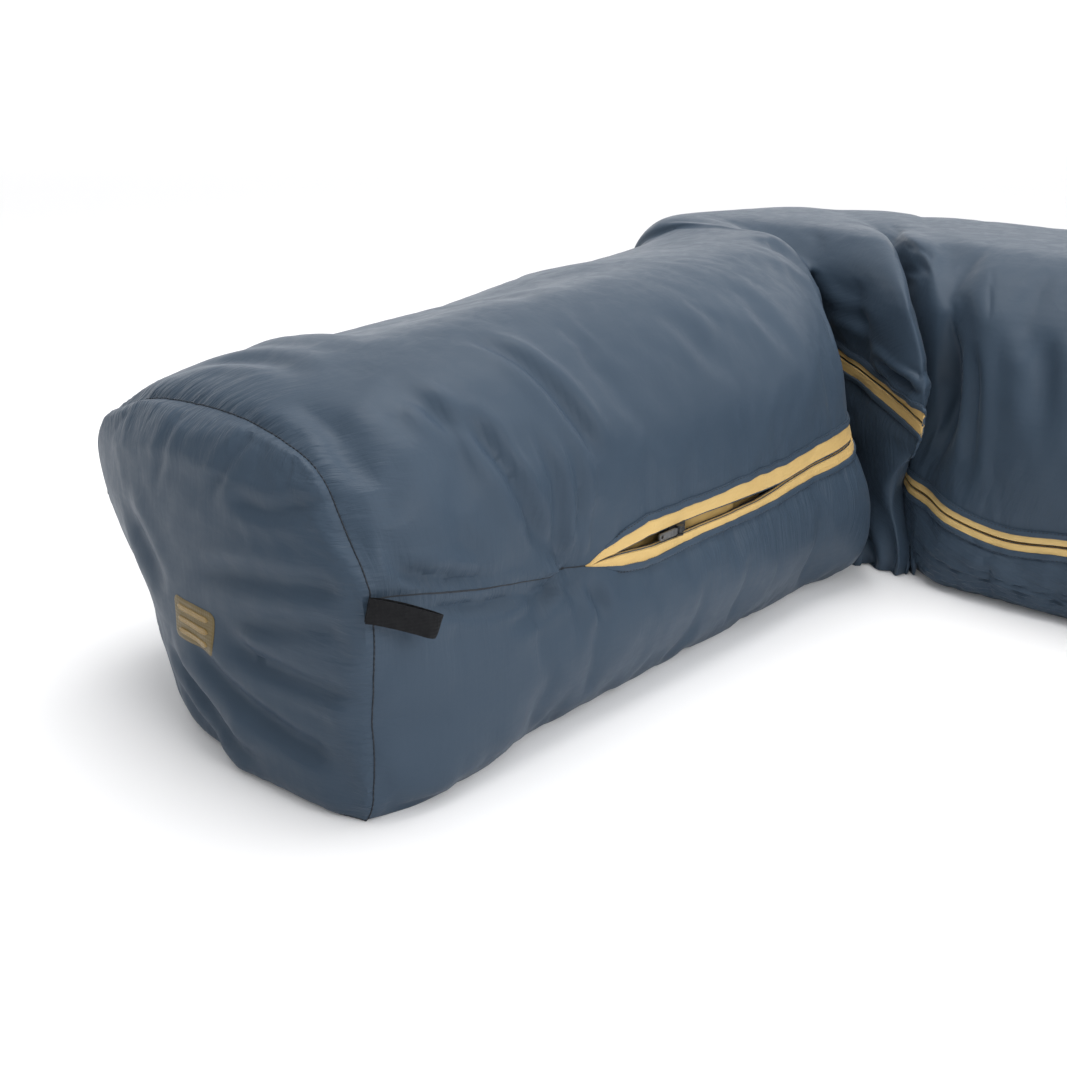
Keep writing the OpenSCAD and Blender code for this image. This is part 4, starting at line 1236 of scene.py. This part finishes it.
for y in (.036, .09, .18, .28, .38, .48, .56):
    s = leg_section(y)
    s[:, 1] += .55 * .10 * smooth((y - .44) / .14) * np.clip(-s[:, 0], 0, .4) / .4
    ls.append(lining_section(s, -.0215, y, (-1, 0)))
for nm, p, e in (("R1", (-.050, .668), (-1, .30)), ("R1b", (-.108, .752), (-1, .42)), ("V1", (-.190, .850), (-1, .45)),
                 ("R2b", (-.090, .872), (-.80, .62)), ("V2", (-.045, .872), (-.62, .80)), ("R3", (.012, .812), (-.5, .86)),
                 ("T0", (.105, .750), (-.25, 1))):
    ls.append(lining_section(SECTIONS[NAMED[nm]], p[0], p[1], e))
for x, k in ((.18, .85), (.25, .55), (.35, .25), (.46, .1), (.57, 0), (.66, 0), (.705, 0)):
    ls.append(lining_section(torso_section(x, k), x, .7345, (0, 1)))
ls = np.array(ls)
LC = [10, 11, 12, 13, 13, 11, 11, 10, 10, 11, 11, 12, 13, 14, 12, 9]
LROW = np.concatenate([[0], np.cumsum(LC)])
LM = sum(LC)
ld = np.array([catmull(s, LC, True) for s in ls])
lstep = np.linalg.norm(np.diff(ld, axis=0), axis=-1)
LG = catmull(ld, [max(3, int(math.ceil(np.percentile(q, 70) / .009))) for q in lstep], False)
ln = grid_normals(LG, True)
LG = LG - ln * (.0022 * (1 + fbm(LG * 11, 101, 3)) + .0012 * ridged(LG * 9, 102, 2))[..., None]
LG[..., 2] = np.maximum(LG[..., 2], .030)
ln = grid_normals(LG, True)
LT = .0009
up_in = LG[:, 0:LROW[8] + 1]
PIECES["lining_upper"] = slab("lining_upper_sheet", up_in, up_in - ln[:, 0:LROW[8] + 1] * LT, LINING)
lo_in = np.concatenate([LG[:, LROW[8]:], LG[:, :1]], 1)
lo_n = np.concatenate([ln[:, LROW[8]:], ln[:, :1]], 1)
PIECES["lining_lower"] = slab("lining_lower_sheet", lo_in, lo_in - lo_n * LT, LINING)
# end of the lining at the foot
c_edge = LG[0]


def lin_coons():
    R = LROW
    near = np.concatenate([c_edge[R[14]:], c_edge[0:R[2] + 1]])
    far = c_edge[R[6]:R[10] + 1][::-1]
    top = c_edge[R[2]:R[6] + 1]
    bottom = c_edge[R[10]:R[14] + 1][::-1]
    return near, far, top, bottom


near, far, top, bottom = lin_coons()
v = np.linspace(0, 1, len(near))[:, None, None]
far = np.stack([np.interp(np.linspace(0, 1, len(near)), np.linspace(0, 1, len(far)), far[:, c]) for c in range(3)], -1)
bottom = np.stack([np.interp(np.linspace(0, 1, len(top)), np.linspace(0, 1, len(bottom)), bottom[:, c]) for c in range(3)], -1)
u = np.linspace(0, 1, len(top))[None, :, None]
LCAP = (1 - u) * near[:, None] + u * far[:, None] + (1 - v) * bottom[None] + v * top[None] - ((1 - u) * (1 - v) * near[0] + u * (1 - v) * far[0] + (1 - u) * v * near[-1] + u * v * far[-1])
bulge = (np.clip(4 * u * (1 - u), 0, 1) * np.clip(4 * v * (1 - v), 0, 1))[..., 0] ** .5
LCAP[..., 1] -= .024 * bulge + .0025 * fbm(LCAP * 12, 103, 3) * bulge
PIECES["lining_foot"] = slab("lining_foot_sheet", LCAP, LCAP + np.array([0, .0009, 0]), LINING)

# ------------------------------------------------------------------ the bound edge of the head end
HEM = fabric("hem_binding_cloth", srgb(52, 63, 76), srgb(60, 72, 86), rough=(.45, .6), sheen=.2)


def match(a, n):
    return np.stack([np.interp(np.linspace(0, 1, n), np.linspace(0, 1, len(a)), a[:, c]) for c in range(3)], -1)


def hem(name, out_edge, out_n, in_edge, in_n, material):
    """A padded rim from the shell's edge to the lining's edge, its binding turned over both."""
    n = len(out_edge)
    k = 13
    prof = np.zeros((n, k, 3))
    x_out, x_in = out_edge[:, 0].max(), in_edge[:, 0].max()
    ax = np.array([1.0, 0, 0])
    mid_w = np.linspace(0, 1, k - 4)
    prof[:, 0] = out_edge - ax * .013 + out_n * .0012
    prof[:, 1] = out_edge - ax * .004 + out_n * .0016
    for a, t in enumerate(mid_w):
        p = out_edge * (1 - t) + in_edge * t
        b = math.sin(math.pi * t)
        prof[:, 2 + a] = p + ax * (.0022 + .0085 * b ** .6)
    prof[:, k - 2] = in_edge - ax * .004 - in_n * .0020
    prof[:, k - 1] = in_edge - ax * .013 - in_n * .0020
    s = np.cumsum(np.linalg.norm(np.gradient(out_edge, axis=0), axis=1))
    puck = .0009 * noise(np.stack([s[:, None] * 80 + np.zeros(k), np.linspace(0, 2, k)[None] + 0 * s[:, None], np.zeros((n, k))], -1), 111)
    prof += ax * puck[..., None]
    inner = prof.copy()
    cen = (prof[:, :1] + prof[:, -1:]) / 2
    inner = prof + unit(cen - prof) * .0009
    inner[:, 0] = out_edge - ax * .013 + out_n * .0004
    inner[:, -1] = in_edge - ax * .013 - in_n * .0011
    return slab(name, prof, inner, material)


oe = UP[-1]; on = NUP[-1]
ie = match(up_in[-1], len(oe)); inn = match(ln[-1, 0:LROW[8] + 1], len(oe))
PIECES["hem_upper"] = hem("head_hem_upper_bind", oe, on, ie, inn, HEM)
oe = LOW[-1][::-1]; on = NLOW[-1][::-1]
ie = match(lo_in[-1], len(oe)); inn = match(lo_n[-1], len(oe))
PIECES["hem_lower"] = hem("head_hem_lower_bind", oe, on, ie, inn, HEM)

# ------------------------------------------------------------------ hang loops of folded webbing
def loop_body(name, root, path, width_dir, half_w, thick, material, frame_dir):
    """A doubled webbing strap: path is its centre line out and back (a long loop), swept with a flat ribbed section."""
    pts = catmull(np.asarray(path, float), [6] * (len(path) - 1), False)
    pts, at, d = resample(pts, .0016)
    t = unit(np.gradient(pts, axis=0))
    w = np.asarray(width_dir, float)
    w = w[None, :] - t * (t @ w)[:, None]
    w = unit(w)
    nrm = np.cross(t, w)
    k = 15
    e = np.linspace(-1, 1, k)[None, :]
    sag = .0005 * noise(np.stack([at[:, None] * 70 + 0 * e, e * 1.3 + 0 * at[:, None], 0 * e + 0 * at[:, None]], -1), 121)
    rib = .00010 * np.cos(at[:, None] / .0016 * math.pi) * np.ones((1, k))
    edge = np.clip(1 - (np.abs(e) ** 8) * .5, .3, 1)
    P = pts[:, None] + w[:, None] * (e * half_w)[..., None]
    outer = P + nrm[:, None] * ((thick / 2 * edge) + rib + sag)[..., None]
    inner = P - nrm[:, None] * ((thick / 2 * edge) - sag)[..., None]
    return slab(name, outer, inner, material, flip=False)


def strap_loop(name, hinge, angle, length, droop, lift0, sign, gap):
    """Out from the hinge on one ply, round a bight at the end and back on the other, drooping a little."""
    d = np.array([math.sin(angle) * sign, math.cos(angle), 0])
    s = np.array([math.cos(angle) * sign, -math.sin(angle), 0])
    hx, hy = hinge
    base = np.array([hx, hy, .165 + lift0]) - d * .007
    ends = np.linspace(0, 1, 7)
    out, back = [], []
    for q in ends:
        z = -droop * (q ** 1.25)
        g = gap * (.35 + .65 * math.sin(math.pi * min(1, q * .80 + .05)) ** .8)
        c = base + d * (length * q - .0012) + np.array([0, 0, z])
        out.append(c + s * g / 2)
        back.append(c - s * g / 2)
    tip = base + d * (length + gap * .42) + np.array([0, 0, -droop * 1.07])
    path = out + [tip] + back[::-1]
    tilt = math.atan2(droop, length)
    wd = np.array([d[0] * math.sin(tilt), d[1] * math.sin(tilt), math.cos(tilt)])
    return loop_body(name, hinge, path, wd, .0094, .0013, WEB, d)


PIECES["loop_right"] = strap_loop("hang_loop_right_web", (.0195, .0), math.radians(32), .047, .017, .011, 1, .0056)
PIECES["loop_left"] = strap_loop("hang_loop_left_web", (-.3995, .048), math.radians(10), .047, .012, .002, -1, .0056)

# ------------------------------------------------------------------ embroidered patch on the foot panel: a plain rounded block of satin stitch
def cap_point(x, z):
    d = (CAP2[..., 0] - x) ** 2 + (CAP2[..., 2] - z) ** 2
    order = np.argsort(d.ravel())[:4]
    w = 1 / (d.ravel()[order] + 1e-7)
    w /= w.sum()
    nn = grid_normals(CAP2, False).reshape(-1, 3)[order]
    return (CAP2.reshape(-1, 3)[order] * w[:, None]).sum(0), unit((nn * w[:, None]).sum(0))


def patch(name, cx_, cz_, wide, tall, lift, material, ribs):
    m_, n_ = 47, 27
    uu = np.linspace(-1, 1, m_)[None, :] * np.ones((n_, 1))
    vv = np.linspace(-1, 1, n_)[:, None] * np.ones((1, m_))
    # square net pressed into a rounded rectangle
    rx = uu * wide / 2
    rz = vv * tall / 2
    r = .006
    dx = np.clip(np.abs(rx) - (wide / 2 - r), 0, 1)
    dz = np.clip(np.abs(rz) - (tall / 2 - r), 0, 1)
    L = np.maximum(np.hypot(dx, dz), 1e-9)
    k = np.where((dx > 0) & (dz > 0), np.minimum(1, np.maximum(dx, dz) / L), 1)
    rx = np.sign(rx) * (np.abs(rx) - dx * (1 - k))
    rz = np.sign(rz) * (np.abs(rz) - dz * (1 - k))
    pts = np.zeros((n_, m_, 3)); nn = np.zeros_like(pts)
    for i in range(n_):
        for j in range(m_):
            pts[i, j], nn[i, j] = cap_point(cx_ + rx[i, j], cz_ + rz[i, j])
            pts[i, j, 0], pts[i, j, 2] = cx_ + rx[i, j], cz_ + rz[i, j]
    pts[..., 1] = blur(pts[..., 1], 8, False)
    edge = np.minimum(1, np.minimum((1 - np.abs(uu)) * m_ / 2, (1 - np.abs(vv)) * n_ / 2) / 1.6) ** .5
    h = lift * (.35 + .65 * edge) + ribs(rx, rz)
    nn = unit(blur(nn, 4, False))
    top = pts + nn * h[..., None]
    bot = pts - nn * .0006
    return slab(name, top[:, ::-1], bot[:, ::-1], material)


THREAD = fabric("patch_thread_satin", srgb(134, 112, 66), srgb(156, 130, 80), rough=(.35, .5), weave=2600, weave_bump=.5, sheen=.15, crinkle=(220, .25))
FIELD = fabric("patch_field_satin", srgb(98, 84, 50), srgb(112, 96, 58), rough=(.45, .6), weave=2200, weave_bump=.4, sheen=.1)
PX, PZ = -.176, .114
PIECES["patch_field"] = patch("foot_patch_field", PX, PZ, .060, .036, .0009, FIELD, lambda a, b: 0 * a)


def frame_ribs(a, b):
    return .00012 * np.sin((a + b) * 5200)


bars = []
for k_, (w_, h_, dx_, dz_) in enumerate(((.048, .0050, 0, .0102), (.048, .0050, 0, .0), (.048, .0050, 0, -.0102))):
    PIECES["patch_bar_%d" % k_] = patch("foot_patch_bar_%d" % (k_ + 1), PX + dx_, PZ + dz_, w_, h_, .0019, THREAD, frame_ribs)

# ------------------------------------------------------------------ better finishes for the rigid CAD parts that stay
def hard(name, dark, light, metallic, rough, scale=260.0, bump=.06, wear=None):
    mat = bpy.data.materials.new(name)
    nt, b = nodes_of(mat)
    new, link = nt.nodes.new, nt.links.new
    tc = new("ShaderNodeTexCoord")
    a = new("ShaderNodeTexNoise"); a.inputs["Scale"].default_value = scale; a.inputs["Detail"].default_value = 5
    c = new("ShaderNodeTexNoise"); c.inputs["Scale"].default_value = scale / 6; c.inputs["Detail"].default_value = 3
    link(tc.outputs["Object"], a.inputs["Vector"]); link(tc.outputs["Object"], c.inputs["Vector"])
    ramp = new("ShaderNodeValToRGB")
    ramp.color_ramp.elements[0].position, ramp.color_ramp.elements[1].position = .35, .65
    ramp.color_ramp.elements[0].color, ramp.color_ramp.elements[1].color = dark, light
    link(c.outputs["Fac"], ramp.inputs["Fac"])
    col = ramp.outputs["Color"]
    if wear is not None:
        geo = new("ShaderNodeNewGeometry")
        wr_ = new("ShaderNodeMapRange"); wr_.inputs["From Min"].default_value = .535; wr_.inputs["From Max"].default_value = .62
        link(geo.outputs["Pointiness"], wr_.inputs["Value"])
        mul = new("ShaderNodeMath"); mul.operation = "MULTIPLY"
        link(wr_.outputs[0], mul.inputs[0]); link(a.outputs["Fac"], mul.inputs[1])
        mix = new("ShaderNodeMix"); mix.data_type = "RGBA"
        link(mul.outputs[0], mix.inputs["Factor"]); link(col, mix.inputs["A"]); mix.inputs["B"].default_value = wear
        col = mix.outputs["Result"]
    link(col, b.inputs["Base Color"])
    rr = new("ShaderNodeMapRange"); rr.inputs["From Min"].default_value = .3; rr.inputs["From Max"].default_value = .7
    rr.inputs["To Min"].default_value, rr.inputs["To Max"].default_value = rough
    link(a.outputs["Fac"], rr.inputs["Value"]); link(rr.outputs[0], b.inputs["Roughness"])
    bp = new("ShaderNodeBump"); bp.inputs["Strength"].default_value = bump; bp.inputs["Distance"].default_value = .0002
    link(a.outputs["Fac"], bp.inputs["Height"]); link(bp.outputs["Normal"], b.inputs["Normal"])
    b.inputs["Metallic"].default_value = metallic
    return mat


ENAMEL = hard("black_enamel", srgb(12, 13, 15), srgb(20, 21, 24), 0, (.42, .56), wear=srgb(46, 46, 48))
GUN = hard("gunmetal_pull", srgb(15, 16, 18), srgb(25, 27, 30), .7, (.32, .48), wear=srgb(150, 150, 150))
FUZZ = fabric("loop_fastener", srgb(16, 16, 18), srgb(30, 30, 33), rough=(.8, .95), weave=1200, weave_bump=.9, sheen=.6, crinkle=(900, .9))
TABM = fabric("tab_cloth", srgb(60, 72, 86), srgb(70, 84, 98), rough=(.45, .55), sheen=.2)


def finish_node(node, mat):
    o = NODES[node]
    o.data.materials.clear()
    o.data.materials.append(mat)


for n_ in ("foot_slider", "head_slider", "zip_head_stops"):
    finish_node(n_, ENAMEL)
for n_ in ("foot_pull", "head_pull"):
    finish_node(n_, GUN)
for n_ in ("tab_hook_patch", "tab_loop_patch"):
    finish_node(n_, FUZZ)
finish_node("closure_tab", TABM)

# ------------------------------------------------------------------ what rides on what
GOES = {
    "foot_tack": ("zip_foot_stop",),
    "shell_upper": ("leg_upper_shell", "torso_upper_shell", "leg_upper_fill", "torso_upper_fill"),
    "shell_lower": ("leg_lower_shell", "torso_lower_shell", "leg_lower_fill", "torso_lower_fill"),
    "shell_foot": ("foot_shell", "foot_fill"),
    "lining_upper": ("leg_upper_lining", "torso_upper_lining"),
    "lining_lower": ("leg_lower_lining", "torso_lower_lining"),
    "lining_foot": ("foot_lining",),
    "tape_upper": ("leg_zip_tape_upper", "torso_zip_tape_upper"),
    "tape_lower": ("leg_zip_tape_lower", "torso_zip_tape_lower"),
    "coil_upper": ("leg_zip_coil_upper", "torso_zip_coil_upper"),
    "coil_lower": ("leg_zip_coil_lower", "torso_zip_coil_lower"),
    "draft_leg": ("leg_draft_tube",), "draft_torso": ("torso_draft_tube",),
    "hem_upper": ("head_hem_upper",), "hem_lower": ("head_hem_lower",),
    "loop_right": ("hang_loop_right",), "loop_left": ("hang_loop_left",),
    "patch_field": ("foot_patch",),
}
SLOT = {"shell": "shell_fabric", "lining": "lining_fabric", "tape": "zip_tape", "coil": "zip_coil", "draft": "draft_fabric", "hem": "hem_binding",
        "loop": "webbing", "patch": "patch_thread", "tapestitch": "zip_tape", "topstitch": "shell_fabric", "foot": "shell_fabric", "side": "shell_fabric", "far": "shell_fabric", "fold": "shell_fabric"}
RIDES = {"shell_foot": "leg", "lining_foot": "leg", "foot_seam": "leg", "foot_stitch": "leg", "side_seam": "leg", "hem_upper": "torso", "hem_lower": "torso",
         "loop_right": "loop_right", "loop_left": "loop_left"}
for key, ob in PIECES.items():
    if key in GOES:
        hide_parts(*GOES[key])
    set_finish(ob, SLOT[key.split("_")[0]])
    if key in RIDES:
        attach(ob, RIDES[key])
    elif key.startswith("patch"):
        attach(ob, "leg")
    else:
        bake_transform(ob)
for o in bpy.context.scene.objects:
    if o.type == "MESH" and o.get("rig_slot") and o.name not in NODES:
        o.data.update()
